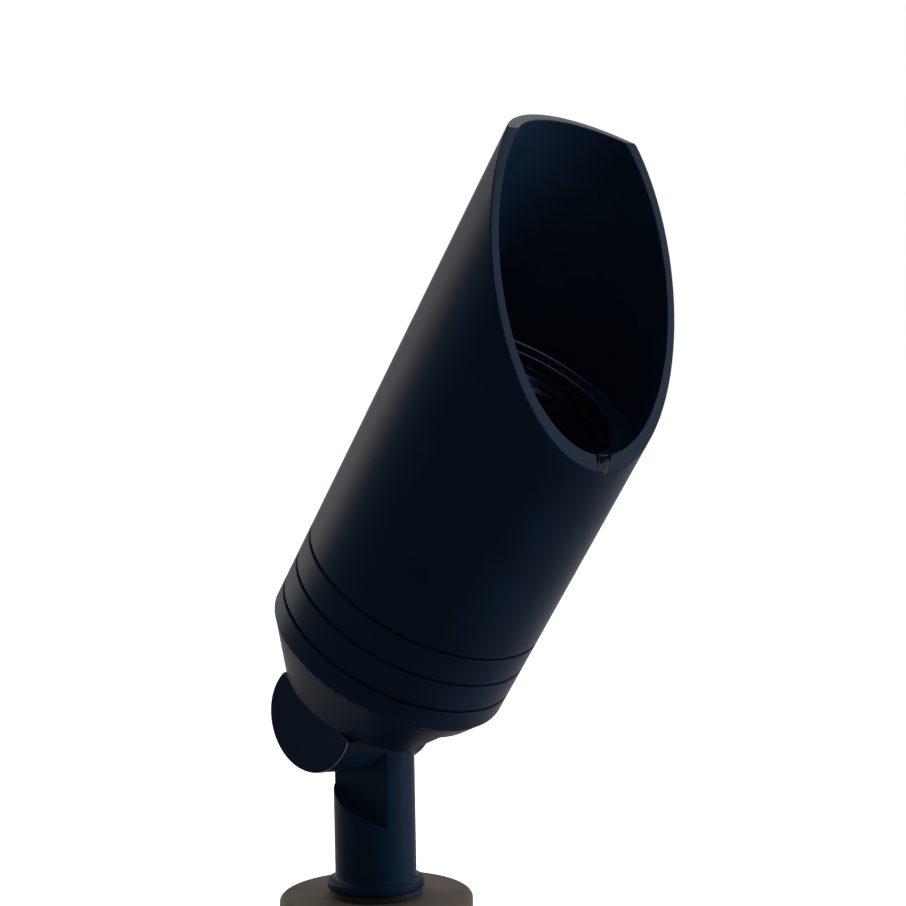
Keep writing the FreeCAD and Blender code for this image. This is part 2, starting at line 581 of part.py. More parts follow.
def lamp_body():
    """Aluminium shell of the lamp with cooling fins down its waist."""
    waist = (LAMP_NECK + RIM_FOOT) / 2
    bulge = LAMP_NECK_RADIUS + LAMP_BULGE * (LAMP_RADIUS - LAMP_NECK_RADIUS)
    recess = OPTIC_RADIUS + SEAT_GAP
    wall_top = V(LAMP_RADIUS - LAMP_RIM_STEP, 0, RIM_FOOT)
    wall_middle = V(bulge, 0, waist)
    wall_foot = V(LAMP_NECK_RADIUS, 0, LAMP_NECK)
    straight = [V(0, 0, LAMP_NECK), V(0, 0, BOARD_FOOT), V(recess, 0, BOARD_FOOT),
                V(recess, 0, LAMP_FACE), V(LAMP_RADIUS, 0, LAMP_FACE),
                V(LAMP_RADIUS, 0, RIM_FOOT), wall_top]
    edges = [Part.LineSegment(a, b).toShape() for a, b in zip(straight[:-1], straight[1:])]
    edges.append(Part.Arc(wall_top, wall_middle, wall_foot).toShape())
    edges.append(Part.LineSegment(wall_foot, straight[0]).toShape())
    body = Part.Face(Part.Wire(edges)).revolve(V(0, 0, 0), V(0, 0, 1), 360)
    gap_foot = LAMP_NECK + LAMP_FIN_RISE
    inner_top = V(LAMP_RADIUS - LAMP_RIM_STEP - LAMP_CORE_DRAW, 0, RIM_FOOT)
    inner_middle = V(bulge - LAMP_CORE_DRAW, 0, waist)
    inner_foot = V(LAMP_NECK_RADIUS - LAMP_CORE_DRAW / 2, 0, gap_foot)
    far = V(LAMP_RADIUS + OVERCUT, 0, gap_foot)
    far_top = V(LAMP_RADIUS + OVERCUT, 0, RIM_FOOT)
    edges = [Part.Arc(inner_top, inner_middle, inner_foot).toShape()]
    edges += [Part.LineSegment(a, b).toShape()
              for a, b in ((inner_foot, far), (far, far_top), (far_top, inner_top))]
    gap = moved(Part.Face(Part.Wire(edges)).extrude(V(0, LAMP_FIN_GAP, 0)), y=-LAMP_FIN_GAP / 2)
    gaps = [turned(gap, 360 * number / LAMP_FINS) for number in range(LAMP_FINS)]
    return aimed(on_tube(body.cut(gaps)))


def lamp_board():
    """Round circuit board that carries the light-emitting chips."""
    top = BOARD_FOOT + BOARD_THICK
    half = CHIP_WIDTH / 2
    board = disc(OPTIC_RADIUS - BOARD_ROOM, BOARD_FOOT, top)
    chip = block(OPTIC_LENS_CIRCLE - half, OPTIC_LENS_CIRCLE + half, -half, half,
                 top - CHIP_HEIGHT / 2, top + CHIP_HEIGHT)
    chips = [turned(chip, 360 * number / OPTIC_LENSES) for number in range(OPTIC_LENSES)]
    return aimed(on_tube(fused([board] + chips)))


def lamp_optic():
    """Clear cover with one small dished lens over each chip."""
    cover = disc(OPTIC_RADIUS, LAMP_FACE - OPTIC_THICK, LAMP_FACE)
    depth = OPTIC_LENS_DEPTH
    ball_radius = (OPTIC_LENS_RADIUS ** 2 + depth ** 2) / (2 * depth)
    dish = Part.makeSphere(ball_radius, V(OPTIC_LENS_CIRCLE, 0, LAMP_FACE - depth + ball_radius))
    dishes = [turned(dish, 360 * number / OPTIC_LENSES) for number in range(OPTIC_LENSES)]
    return aimed(on_tube(cover.cut(dishes)))


def lamp_base():
    """Moulded foot of the lamp."""
    edge = LAMP_BASE_EDGE
    outline = [(0, LAMP_FOOT), (LAMP_BASE_RADIUS - edge, LAMP_FOOT),
               (LAMP_BASE_RADIUS, LAMP_FOOT + edge), (LAMP_BASE_RADIUS, LAMP_NECK - edge),
               (LAMP_NECK_RADIUS, LAMP_NECK), (0, LAMP_NECK)]
    pin_hole = disc(LAMP_PIN_RADIUS + SEAT_GAP, LAMP_FOOT - OVERCUT, LAMP_FOOT + LAMP_PIN_ROOT)
    holes = [moved(pin_hole, y=side * LAMP_PIN_SPACING / 2) for side in (-1, 1)]
    return aimed(on_tube(about_z(outline).cut(holes)))


def lamp_pins():
    """The lamp's two contact pins."""
    tip = LAMP_FOOT - LAMP_PIN_LENGTH
    pin = disc(LAMP_PIN_RADIUS, tip, LAMP_FOOT + LAMP_PIN_ROOT)
    pin = chamfered(pin, LAMP_PIN_EDGE, lambda edge: is_circle(edge, LAMP_PIN_RADIUS, tip))
    pins = [moved(pin, y=side * LAMP_PIN_SPACING / 2) for side in (-1, 1)]
    return aimed(on_tube(Part.makeCompound(pins)))


# ---- socket ----

def pair_along_y(shape, spacing):
    """Two copies of a shape, set apart along Y."""
    return [moved(shape, y=side * spacing / 2) for side in (-1, 1)]


def small_screw(head_foot, length):
    """Pan-head screw about Z, whose head stands on head_foot."""
    shank = disc(SMALL_SCREW_RADIUS, head_foot - length, head_foot)
    head_top = head_foot + SMALL_SCREW_HEAD_HEIGHT
    head = disc(SMALL_SCREW_HEAD, head_foot, head_top)
    head = chamfered(head, SMALL_SCREW_DOME,
                     lambda edge: is_circle(edge, SMALL_SCREW_HEAD, head_top))
    slot = block(-SMALL_SCREW_HEAD, SMALL_SCREW_HEAD, -SMALL_SCREW_SLOT / 2, SMALL_SCREW_SLOT / 2,
                 head_top - SMALL_SCREW_SLOT_DEPTH, head_top + OVERCUT)
    return fused([shank, head]).cut(slot)


def lamp_socket():
    """Ceramic two-pin socket with an ear at each end."""
    half = SOCKET_WIDTH / 2
    ear_top = SOCKET_FOOT + SOCKET_EAR_HEIGHT
    base = block(-half, half, -SOCKET_LENGTH / 2, SOCKET_LENGTH / 2, SOCKET_FOOT, ear_top)
    tower = block(-half, half, -SOCKET_TOWER / 2, SOCKET_TOWER / 2, SOCKET_FOOT, SOCKET_TOP)
    upright = V(0, 0, 1)

    def is_upright(edge):
        """Whether an edge runs along Z."""
        start, end = edge.Vertexes[0].Point, edge.Vertexes[-1].Point
        return (end - start).cross(upright).Length < 1e-6

    body = fused([rounded(base, SOCKET_CORNER, is_upright),
                  rounded(tower, SOCKET_CORNER, is_upright)])
    low = SOCKET_FOOT - OVERCUT
    contact_hole = disc(CONTACT_RADIUS + SEAT_GAP, CONTACT_FOOT, SOCKET_TOP + OVERCUT)
    lead_hole = disc(LEAD_RADIUS + SEAT_GAP, low, CONTACT_FOOT + OVERCUT)
    screw_hole = disc(SMALL_SCREW_RADIUS + SCREW_HOLE_ROOM, low, ear_top + OVERCUT)
    holes = pair_along_y(contact_hole, LAMP_PIN_SPACING)
    holes += pair_along_y(lead_hole, LAMP_PIN_SPACING)
    holes += pair_along_y(screw_hole, 2 * SOCKET_SCREW_PLACE)
    return aimed(on_tube(body.cut(holes)))


def socket_contacts():
    """Sprung metal sleeves that grip the lamp's pins."""
    sleeve = ring(LAMP_PIN_RADIUS + SEAT_GAP, CONTACT_RADIUS, CONTACT_FOOT, CONTACT_TOP)
    return aimed(on_tube(Part.makeCompound(pair_along_y(sleeve, LAMP_PIN_SPACING))))


def socket_screws():
    """Two screws that hold the socket's ears on the bracket."""
    screw = small_screw(SOCKET_FOOT + SOCKET_EAR_HEIGHT, SOCKET_SCREW_LENGTH)
    return aimed(on_tube(Part.makeCompound(pair_along_y(screw, 2 * SOCKET_SCREW_PLACE))))


def socket_bracket():
    """Bent strap that stands the socket off the cavity's floor."""
    top = SOCKET_FOOT
    width = BRACKET_STRAP / 2
    plate_half = SOCKET_LENGTH / 2
    pieces = [block(-BRACKET_TOP_HALF, BRACKET_TOP_HALF, -plate_half, plate_half,
                    top - BRACKET_THICK, top)]
    for side in (-1, 1):
        leg = block(BRACKET_TOP_HALF - BRACKET_THICK, BRACKET_TOP_HALF, -width, width,
                    CAVITY_FLOOR, top)
        foot = block(BRACKET_TOP_HALF - BRACKET_THICK, BRACKET_FOOT_END, -width, width,
                     CAVITY_FLOOR, CAVITY_FLOOR + BRACKET_THICK)
        turn = 0 if side > 0 else 180
        pieces += [turned(leg, turn), turned(foot, turn)]
    body = fused(pieces)
    through = BRACKET_THICK + OVERCUT
    foot_hole = disc(SMALL_SCREW_RADIUS + SCREW_HOLE_ROOM, CAVITY_FLOOR - OVERCUT,
                     CAVITY_FLOOR + through)
    top_hole = disc(SMALL_SCREW_RADIUS + SEAT_GAP, top - through, top + OVERCUT)
    slot = block(-BRACKET_SLOT_HALF, BRACKET_SLOT_HALF, -BRACKET_SLOT / 2, BRACKET_SLOT / 2,
                 top - through, top + OVERCUT)
    holes = [moved(foot_hole, side * BRACKET_SCREW_PLACE) for side in (-1, 1)]
    holes += pair_along_y(top_hole, 2 * SOCKET_SCREW_PLACE)
    return aimed(on_tube(body.cut(holes + [slot])))


def bracket_screws():
    """Two screws that hold the bracket's feet on the cavity's floor."""
    screw = small_screw(CAVITY_FLOOR + BRACKET_THICK, BRACKET_SCREW_LENGTH)
    screws = [moved(screw, side * BRACKET_SCREW_PLACE) for side in (-1, 1)]
    return aimed(on_tube(Part.makeCompound(screws)))


# ---- wiring ----

def plug_lead_places():
    """Where the two leads enter the plug, in the head frame: first the far one."""
    return [V(0, side * LEAD_SPACING / 2 - CABLE_WAY_PLACE, 0) for side in (1, -1)]


def housing_plug():
    """Rubber plug that seals the cable way in the cavity's floor round the two leads."""
    shank = disc(CABLE_WAY_RADIUS - SEAT_GAP, CAVITY_FLOOR - PLUG_LENGTH, CAVITY_FLOOR)
    flange = disc(PLUG_FLANGE_RADIUS, CAVITY_FLOOR, CAVITY_FLOOR + PLUG_FLANGE_THICK)
    body = moved(fused([shank, flange]), y=-CABLE_WAY_PLACE)
    holes = [moved(disc(LEAD_RADIUS + SEAT_GAP, 0, 2 * CAVITY_FLOOR), place.x, place.y)
             for place in plug_lead_places()]
    return aimed(body.cut(holes))


def rounded_route(points, radius):
    """Wire of straight runs joined by tangent arcs of one radius."""
    edges = []
    start = points[0]
    for before, corner, after in zip(points[:-2], points[1:-1], points[2:]):
        back = (before - corner).normalize()
        on = (after - corner).normalize()
        half_turn = (math.pi - back.getAngle(on)) / 2
        inset = radius * math.tan(half_turn)
        bisector = (back + on).normalize()
        centre_distance = radius / math.cos(half_turn)
        arc_start = corner + back * inset
        arc_end = corner + on * inset
        arc_middle = corner + bisector * (centre_distance - radius)
        edges.append(Part.LineSegment(start, arc_start).toShape())
        edges.append(Part.Arc(arc_start, arc_middle, arc_end).toShape())
        start = arc_end
    edges.append(Part.LineSegment(start, points[-1]).toShape())
    return Part.Wire(edges)


def socket_leads():
    """Two insulated leads from the socket's contacts to the plug in the floor."""
    shift = V(TUBE_SHIFT_X, TUBE_SHIFT_Y, 0)
    bend_high = SOCKET_FOOT - LEAD_STRAIGHT
    bend_low = CAVITY_FLOOR + PLUG_FLANGE_THICK + LEAD_RISE
    leads = []
    for side, place in zip((1, -1), plug_lead_places()):
        over = shift + V(0, side * LAMP_PIN_SPACING / 2, 0)
        points = [over + V(0, 0, CONTACT_FOOT), over + V(0, 0, bend_high),
                  place + V(0, 0, bend_low), place + V(0, 0, CAVITY_FLOOR - PLUG_LENGTH)]
        shortest = min((b - a).Length for a, b in zip(points[:-1], points[1:]))
        half_turn = (points[2] - points[1]).getAngle(V(0, 0, -1)) / 2
        radius = LEAD_BEND_SHARE * shortest / math.tan(half_turn)
        section = Part.Wire(Part.makeCircle(LEAD_RADIUS, points[0], V(0, 0, 1)))
        leads.append(rounded_route(points, radius).makePipeShell([section], True, False))
    return aimed(Part.makeCompound(leads))


PIECES = {
    "ground_stake": ground_stake,
    "stem_seal": stem_seal,
    "stem": stem,
    "stem_grommet": stem_grommet,
    "knuckle_seal": knuckle_seal,
    "knuckle_washer": knuckle_washer,
    "knuckle_screw": knuckle_screw,
    "rear_housing": rear_housing,
    "shroud_seals": shroud_seals,
    "shroud": shroud,
    "lens_gasket": lens_gasket,
    "lens": lens,
    "lens_clip": lens_clip,
    "lamp_body": lamp_body,
    "lamp_board": lamp_board,
    "lamp_optic": lamp_optic,
    "lamp_base": lamp_base,
    "lamp_pins": lamp_pins,
    "lamp_socket": lamp_socket,
    "socket_contacts": socket_contacts,
    "socket_screws": socket_screws,
    "socket_bracket": socket_bracket,
    "bracket_screws": bracket_screws,
    "housing_plug": housing_plug,
    "socket_leads": socket_leads,
}

os.makedirs("parts", exist_ok=True)
for name, make in PIECES.items():
    shape = make()
    shape.exportStep("parts/" + name + ".step")
    print(name, "solids", len(shape.Solids), "valid", shape.isValid(), "mm3", round(shape.Volume))
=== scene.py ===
"""Dresses the garden spike spotlight for its portrait: meshes, finishes, studio and camera.

Sizes are written in millimetres and become metres through MM. Round pieces of the lamp head are
drawn about the tube's centre line, with the level along the tube as Z, and then aimed by the
frame's own joints. The stem and the stake are drawn where they stand.
"""
import json
import logging
import math
from dataclasses import dataclass, field
from enum import Enum
from typing import Callable, Iterable, Sequence

import bmesh
import bpy
from mathutils import Matrix, Vector


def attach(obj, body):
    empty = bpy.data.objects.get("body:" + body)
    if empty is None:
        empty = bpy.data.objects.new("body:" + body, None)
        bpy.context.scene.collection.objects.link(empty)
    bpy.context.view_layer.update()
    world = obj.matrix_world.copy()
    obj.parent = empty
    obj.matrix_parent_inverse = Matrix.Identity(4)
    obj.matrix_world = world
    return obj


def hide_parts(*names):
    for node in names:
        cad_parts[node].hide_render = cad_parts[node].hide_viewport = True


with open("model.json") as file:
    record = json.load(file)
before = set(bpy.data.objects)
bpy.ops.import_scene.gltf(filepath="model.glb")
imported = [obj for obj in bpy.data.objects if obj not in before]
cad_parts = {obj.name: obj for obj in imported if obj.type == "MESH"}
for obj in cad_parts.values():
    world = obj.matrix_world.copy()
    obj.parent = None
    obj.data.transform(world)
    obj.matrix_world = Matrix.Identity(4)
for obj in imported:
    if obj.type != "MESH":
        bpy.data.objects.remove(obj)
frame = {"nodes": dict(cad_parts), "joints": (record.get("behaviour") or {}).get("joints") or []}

LOG = logging.getLogger("spike_spotlight")
MM = 0.001
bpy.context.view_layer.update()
Colour = tuple[float, float, float]
Outline = Sequence[tuple[float, float]]


class Body(Enum):
    """The bodies of the frame that pieces ride on."""

    STAKE = "stake"
    STEM_WASHER = "stem_washer"
    STEM = "stem"
    FIXTURE = "fixture"
    LENS_UNIT = "lens_unit"
    SHROUD = "shroud"
    SCREW_WASHER = "screw_washer"
    CLAMP_SCREW = "clamp_screw"


class Slot(Enum):
    """The record's material slots, one of which each new piece carries."""

    POWDER_COAT = "powder_coat"
    STAKE_PLASTIC = "stake_plastic"
    BLACK_RUBBER = "black_rubber"
    STAINLESS = "stainless"
    LAMP_COVER = "lamp_cover"


# ---- node helpers ----

class NodeSheet:
    """A material's node tree with short ways to add nodes and wires."""

    def __init__(self, name: str) -> None:
        """Starts a material that holds only a Principled shader and its output.

        Args:
            name: The material's name.
        """
        self.material = bpy.data.materials.new(name)
        self.material.use_nodes = True
        self.tree = self.material.node_tree
        self.tree.nodes.clear()
        self.output = self.tree.nodes.new("ShaderNodeOutputMaterial")
        self.shader = self.tree.nodes.new("ShaderNodeBsdfPrincipled")
        self.wire(self.shader, "BSDF", self.output, "Surface")
        self.coordinates = self.tree.nodes.new("ShaderNodeTexCoord")

    def add(self, kind: str, **settings: object) -> bpy.types.Node:
        """Adds a node.

        Args:
            kind: The node's type name.
            settings: Properties, or input sockets by name, to set on it.

        Returns:
            The new node.
        """
        node = self.tree.nodes.new(kind)
        for key, value in settings.items():
            if hasattr(node, key):
                setattr(node, key, value)
            else:
                node.inputs[key.replace("_", " ")].default_value = value
        return node

    def wire(self, source: bpy.types.Node, output: str | int, target: bpy.types.Node,
             socket: str | int) -> None:
        """Joins an output socket to an input socket."""
        self.tree.links.new(source.outputs[output], target.inputs[socket])

    def noise(self, scale: float, detail: float = 3.0, roughness: float = 0.5) -> bpy.types.Node:
        """Adds a noise texture on Object coordinates.

        Args:
            scale: Cells per metre.
            detail: Octaves of noise.
            roughness: Strength of the finer octaves.

        Returns:
            The noise node.
        """
        node = self.add("ShaderNodeTexNoise")
        node.inputs["Scale"].default_value = scale
        node.inputs["Detail"].default_value = detail
        node.inputs["Roughness"].default_value = roughness
        self.wire(self.coordinates, "Object", node, "Vector")
        return node

    def ramp(self, source: bpy.types.Node, output: str, stops: Sequence[tuple[float, Colour]]
             ) -> bpy.types.Node:
        """Adds a colour ramp on a value.

        Args:
            source: The node that gives the value.
            output: The name of its output.
            stops: Positions and colours.

        Returns:
            The ramp node.
        """
        node = self.add("ShaderNodeValToRGB")
        elements = node.color_ramp.elements
        while len(elements) < len(stops):
            elements.new(0.5)
        for element, (position, colour) in zip(elements, stops):
            element.position = position
            element.color = (*colour, 1.0)
        self.wire(source, output, node, "Fac")
        return node

    def spread(self, source: bpy.types.Node, output: str, low: float, high: float
               ) -> bpy.types.Node:
        """Maps a 0 to 1 value onto a range.

        Args:
            source: The node that gives the value.
            output: The name of its output.
            low: Result at 0.
            high: Result at 1.

        Returns:
            The map range node.
        """
        node = self.add("ShaderNodeMapRange")
        node.inputs["To Min"].default_value = low
        node.inputs["To Max"].default_value = high
        self.wire(source, output, node, "Value")
        return node

    def bump(self, source: bpy.types.Node, output: str, depth: float, strength: float,
             below: bpy.types.Node | None = None) -> bpy.types.Node:
        """Adds a bump from a height value and feeds it to the shader's normal.

        Args:
            source: The node that gives the height.
            output: The name of its output.
            depth: Height of the relief in metres.
            strength: Share of the relief that shows.
            below: A coarser bump that this one rides on.

        Returns:
            The bump node.
        """
        node = self.add("ShaderNodeBump")
        node.inputs["Strength"].default_value = strength
        node.inputs["Distance"].default_value = depth
        self.wire(source, output, node, "Height")
        if below is not None:
            self.wire(below, "Normal", node, "Normal")
        self.wire(node, "Normal", self.shader, "Normal")
        return node

    def set(self, **values: object) -> None:
        """Sets the Principled shader's sockets, with underscores for spaces."""
        for key, value in values.items():
            self.shader.inputs[key.replace("_", " ")].default_value = value


# ---- finishes ----

@dataclass(frozen=True)
class PowderCoat:
    """Satin powder coat on a machined or cast metal piece."""

    name: str = "powder_coat_satin"
    dark: Colour = (0.0013, 0.0056, 0.0136)
    light: Colour = (0.0022, 0.0084, 0.0200)
    roughness: float = 0.43
    specular: float = 0.013
    cloud: float = 60.0
    peel: float = 900.0
    peel_depth: float = 0.00004
    grit: float = 5200.0
    grit_depth: float = 0.00001

    def material(self) -> bpy.types.Material:
        """Builds the coat: cloudy tone, orange peel and fine grit."""
        sheet = NodeSheet(self.name)
        cloud = sheet.noise(self.cloud, detail=4.0)
        tone = sheet.ramp(cloud, "Fac", [(0.3, self.dark), (0.7, self.light)])
        sheet.wire(tone, "Color", sheet.shader, "Base Color")
        grit = sheet.noise(self.grit, detail=2.0)
        gloss = sheet.spread(grit, "Fac", self.roughness - 0.05, self.roughness + 0.06)
        sheet.wire(gloss, "Result", sheet.shader, "Roughness")
        sheet.set(Specular_IOR_Level=self.specular)
        peel = sheet.noise(self.peel, detail=2.0)
        coarse = sheet.bump(peel, "Fac", self.peel_depth, 0.35)
        sheet.bump(grit, "Fac", self.grit_depth, 0.5, below=coarse)
        return sheet.material


@dataclass(frozen=True)
class MouldedPlastic:
    """Moulded plastic with a spark-eroded texture."""

    name: str
    dark: Colour
    light: Colour
    roughness: float = 0.6
    specular: float = 0.4
    grain: float = 2600.0
    grain_depth: float = 0.00003
    cloud: float = 45.0

    def material(self) -> bpy.types.Material:
        """Builds the plastic: slow tone change and fine grain."""
        sheet = NodeSheet(self.name)
        cloud = sheet.noise(self.cloud, detail=5.0, roughness=0.6)
        tone = sheet.ramp(cloud, "Fac", [(0.3, self.dark), (0.7, self.light)])
        sheet.wire(tone, "Color", sheet.shader, "Base Color")
        grain = sheet.noise(self.grain, detail=3.0, roughness=0.6)
        gloss = sheet.spread(grain, "Fac", self.roughness - 0.08, self.roughness + 0.1)
        sheet.wire(gloss, "Result", sheet.shader, "Roughness")
        sheet.set(Specular_IOR_Level=self.specular)
        sheet.bump(grain, "Fac", self.grain_depth, 0.6)
        return sheet.material


@dataclass(frozen=True)
class BareMetal:
    """Uncoated metal with faint tool marks."""

    name: str
    dark: Colour
    light: Colour
    roughness: float = 0.32
    grain: float = 1500.0
    stretch: tuple[float, float, float] = (1.0, 1.0, 12.0)

    def material(self) -> bpy.types.Material:
        """Builds the metal: drawn-out grain in colour, gloss and relief."""
        sheet = NodeSheet(self.name)
        mapping = sheet.add("ShaderNodeMapping")
        mapping.inputs["Scale"].default_value = self.stretch
        sheet.wire(sheet.coordinates, "Object", mapping, "Vector")
        grain = sheet.noise(self.grain, detail=3.0)
        sheet.wire(mapping, "Vector", grain, "Vector")
        tone = sheet.ramp(grain, "Fac", [(0.3, self.dark), (0.7, self.light)])
        sheet.wire(tone, "Color", sheet.shader, "Base Color")
        gloss = sheet.spread(grain, "Fac", self.roughness - 0.06, self.roughness + 0.08)
        sheet.wire(gloss, "Result", sheet.shader, "Roughness")
        sheet.set(Metallic=1.0)
        sheet.bump(grain, "Fac", 0.00001, 0.3)
        return sheet.material


@dataclass(frozen=True)
class SoftRubber:
    """Matt rubber or silicone with a faint bloom."""

    name: str
    dark: Colour
    light: Colour
    roughness: float = 0.72
    specular: float = 0.5

    def material(self) -> bpy.types.Material:
        """Builds the rubber: cloudy bloom and soft grain."""
        sheet = NodeSheet(self.name)
        cloud = sheet.noise(220.0, detail=4.0)
        tone = sheet.ramp(cloud, "Fac", [(0.35, self.dark), (0.75, self.light)])
        sheet.wire(tone, "Color", sheet.shader, "Base Color")
        grain = sheet.noise(3000.0, detail=2.0)
        gloss = sheet.spread(grain, "Fac", self.roughness - 0.06, self.roughness + 0.08)
        sheet.wire(gloss, "Result", sheet.shader, "Roughness")
        sheet.set(Specular_IOR_Level=self.specular)
        sheet.bump(grain, "Fac", 0.00002, 0.4)
        return sheet.material


@dataclass(frozen=True)
class ClearGlass:
    """Clear glass or moulded cover with a faint dusting."""

    name: str
    tint: Colour = (0.93, 0.96, 0.97)
    roughness: float = 0.02
    dusting: float = 0.05
    ior: float = 1.5

    def material(self) -> bpy.types.Material:
        """Builds the glass: full transmission, with dust in its roughness."""
        sheet = NodeSheet(self.name)
        dust = sheet.noise(400.0, detail=6.0, roughness=0.7)
        gloss = sheet.spread(dust, "Fac", self.roughness, self.roughness + self.dusting)
        sheet.wire(gloss, "Result", sheet.shader, "Roughness")
        sheet.set(Base_Color=(*self.tint, 1.0), Transmission_Weight=1.0, IOR=self.ior)
        return sheet.material


class Finishes:
    """Every finish of the spotlight, built once."""

    def __init__(self) -> None:
        """Builds all the materials."""
        self.coat = PowderCoat().material()
        # A lighter, bluer copy of the same powder coat for the stem: painted light, standing in for the
        # light that falls brighter on the stem.
        self.stem_coat_painted_lighter = PowderCoat("powder_coat_stem_painted_light", dark=(0.0018, 0.0068, 0.0150),
                                    light=(0.0028, 0.0098, 0.0215)).material()
        self.glazed = PowderCoat("powder_coat_glazed", roughness=0.30, specular=0.5).material()
        self.worn = BareMetal("worn_edge", (0.022, 0.021, 0.017), (0.075, 0.072, 0.058),
                              roughness=0.5).material()
        self.stake = MouldedPlastic("stake_plastic", (0.022, 0.015, 0.011), (0.038, 0.028, 0.021),
                                    roughness=0.7, specular=0.10).material()
        self.rubber = SoftRubber("black_rubber", (0.003, 0.003, 0.0035), (0.007, 0.007, 0.008),
                                 specular=0.1).material()
        self.silicone = SoftRubber("black_silicone", (0.001, 0.0015, 0.0035), (0.002, 0.003, 0.0065),
                                   roughness=0.6, specular=0.04).material()
        self.lens = ClearGlass("lens_glass", tint=(0.80, 0.86, 1.0)).material()
        # The lamp's cover is tinted dark blue-grey: painted shade, which darkens the lamp seen deep in
        # the shroud through the lens.
        self.shade_tinted_optic = ClearGlass("lamp_cover", tint=(0.25, 0.28, 0.42), roughness=0.06, ior=1.49
                                ).material()
        self.steel = BareMetal("stainless_steel", (0.42, 0.42, 0.42), (0.6, 0.6, 0.59)).material()
        self.brass = BareMetal("bare_brass", (0.52, 0.36, 0.14), (0.72, 0.53, 0.26),
                               roughness=0.35).material()
        # The lamp body is kept nearly black: painted shade for the lamp seen deep in the shroud.
        self.casting = BareMetal("lamp_casting_painted_dark", (0.020, 0.022, 0.03), (0.035, 0.038, 0.05),
                                 roughness=0.5, grain=900.0, stretch=(1.0, 1.0, 1.0)).material()
        self.board = MouldedPlastic("lamp_board", (0.02, 0.03, 0.022), (0.03, 0.045, 0.032),
                                    roughness=0.45).material()
        self.lamp_foot = MouldedPlastic("lamp_foot", (0.03, 0.03, 0.032), (0.05, 0.05, 0.052)
                                        ).material()
        self.ceramic = MouldedPlastic("socket_ceramic", (0.70, 0.66, 0.58), (0.80, 0.77, 0.70),
                                      roughness=0.35, grain=800.0).material()
        self.sleeve = SoftRubber("lead_sleeve", (0.03, 0.03, 0.03), (0.06, 0.06, 0.06),
                                 roughness=0.55).material()


# ---- mesh helpers ----

def arc_points(centre: tuple[float, float], radius: float, start: float, end: float,
               steps: int) -> list[tuple[float, float]]:
    """Points along an arc in a profile's plane.

    Args:
        centre: The arc's centre as (radius, height).
        radius: The arc's radius.
        start: First angle in degrees, counted from the radius axis.
        end: Last angle in degrees.
        steps: Number of chords.

    Returns:
        The points, ends included.
    """
    turns = [math.radians(start + (end - start) * step / steps) for step in range(steps + 1)]
    return [(centre[0] + radius * math.cos(turn), centre[1] + radius * math.sin(turn))
            for turn in turns]


def spun(outline: Outline, steps: int) -> bmesh.types.BMesh:
    """Solid of revolution about Z from a closed outline of (radius, height) in millimetres.

    Args:
        outline: The section's corners in order. Two of them may lie on the axis.
        steps: Number of segments round.

    Returns:
        A closed bmesh with its faces pointing outwards.
    """
    mesh = bmesh.new()
    corners = [mesh.verts.new((radius * MM, 0.0, height * MM)) for radius, height in outline]
    edges = [mesh.edges.new(pair) for pair in zip(corners, corners[1:])]
    if outline[0][0] > 0.0:
        edges.append(mesh.edges.new((corners[-1], corners[0])))
    bmesh.ops.spin(mesh, geom=corners + edges, cent=(0, 0, 0), axis=(0, 0, 1),
                   angle=math.tau, steps=steps, use_merge=True, use_duplicate=False)
    bmesh.ops.remove_doubles(mesh, verts=mesh.verts, dist=0.0005 * MM)
    bmesh.ops.recalc_face_normals(mesh, faces=mesh.faces)
    return mesh


def prism(corners: Sequence[Vector], sweep: Vector) -> bmesh.types.BMesh:
    """Closed prism from a flat outline and a sweep, both in millimetres.

    Args:
        corners: The outline's corners in order.
        sweep: The way and length of the extrusion.

    Returns:
        The prism.
    """
    mesh = bmesh.new()
    face = mesh.faces.new([mesh.verts.new(corner * MM) for corner in corners])
    grown = bmesh.ops.extrude_face_region(mesh, geom=[face])
    moved = [item for item in grown["geom"] if isinstance(item, bmesh.types.BMVert)]
    bmesh.ops.translate(mesh, verts=moved, vec=sweep * MM)
    bmesh.ops.recalc_face_normals(mesh, faces=mesh.faces)
    return mesh


def brick(low: Vector, high: Vector) -> bmesh.types.BMesh:
    """Box between two corners in millimetres.

    Args:
        low: Its lowest corner.
        high: Its highest corner.

    Returns:
        The box.
    """
    mesh = bmesh.new()
    bmesh.ops.create_cube(mesh, size=1.0)
    size = high - low
    bmesh.ops.scale(mesh, verts=mesh.verts, vec=size * MM)
    bmesh.ops.translate(mesh, verts=mesh.verts, vec=(low + high) * 0.5 * MM)
    return mesh


def rod(radius_low: float, radius_high: float, low: float, high: float, along: Vector,
        steps: int) -> bmesh.types.BMesh:
    """Closed cylinder or cone through the origin's axis, in millimetres.

    Args:
        radius_low: Radius at its low end.
        radius_high: Radius at its high end.
        low: Place of the low end on the axis.
        high: Place of the high end on the axis.
        along: The axis.
        steps: Number of segments round.

    Returns:
        The solid.
    """
    mesh = bmesh.new()
    bmesh.ops.create_cone(mesh, cap_ends=True, segments=steps, radius1=radius_low * MM,
                          radius2=radius_high * MM, depth=(high - low) * MM)
    bmesh.ops.translate(mesh, verts=mesh.verts, vec=(0, 0, (low + high) * 0.5 * MM))
    turn = Vector((0, 0, 1)).rotation_difference(along).to_matrix()
    bmesh.ops.rotate(mesh, verts=mesh.verts, cent=(0, 0, 0), matrix=turn)
    return mesh


def placed(mesh: bmesh.types.BMesh, matrix: Matrix) -> bmesh.types.BMesh:
    """Moves a bmesh by a matrix and hands it back."""
    bmesh.ops.transform(mesh, matrix=matrix, verts=mesh.verts)
    return mesh


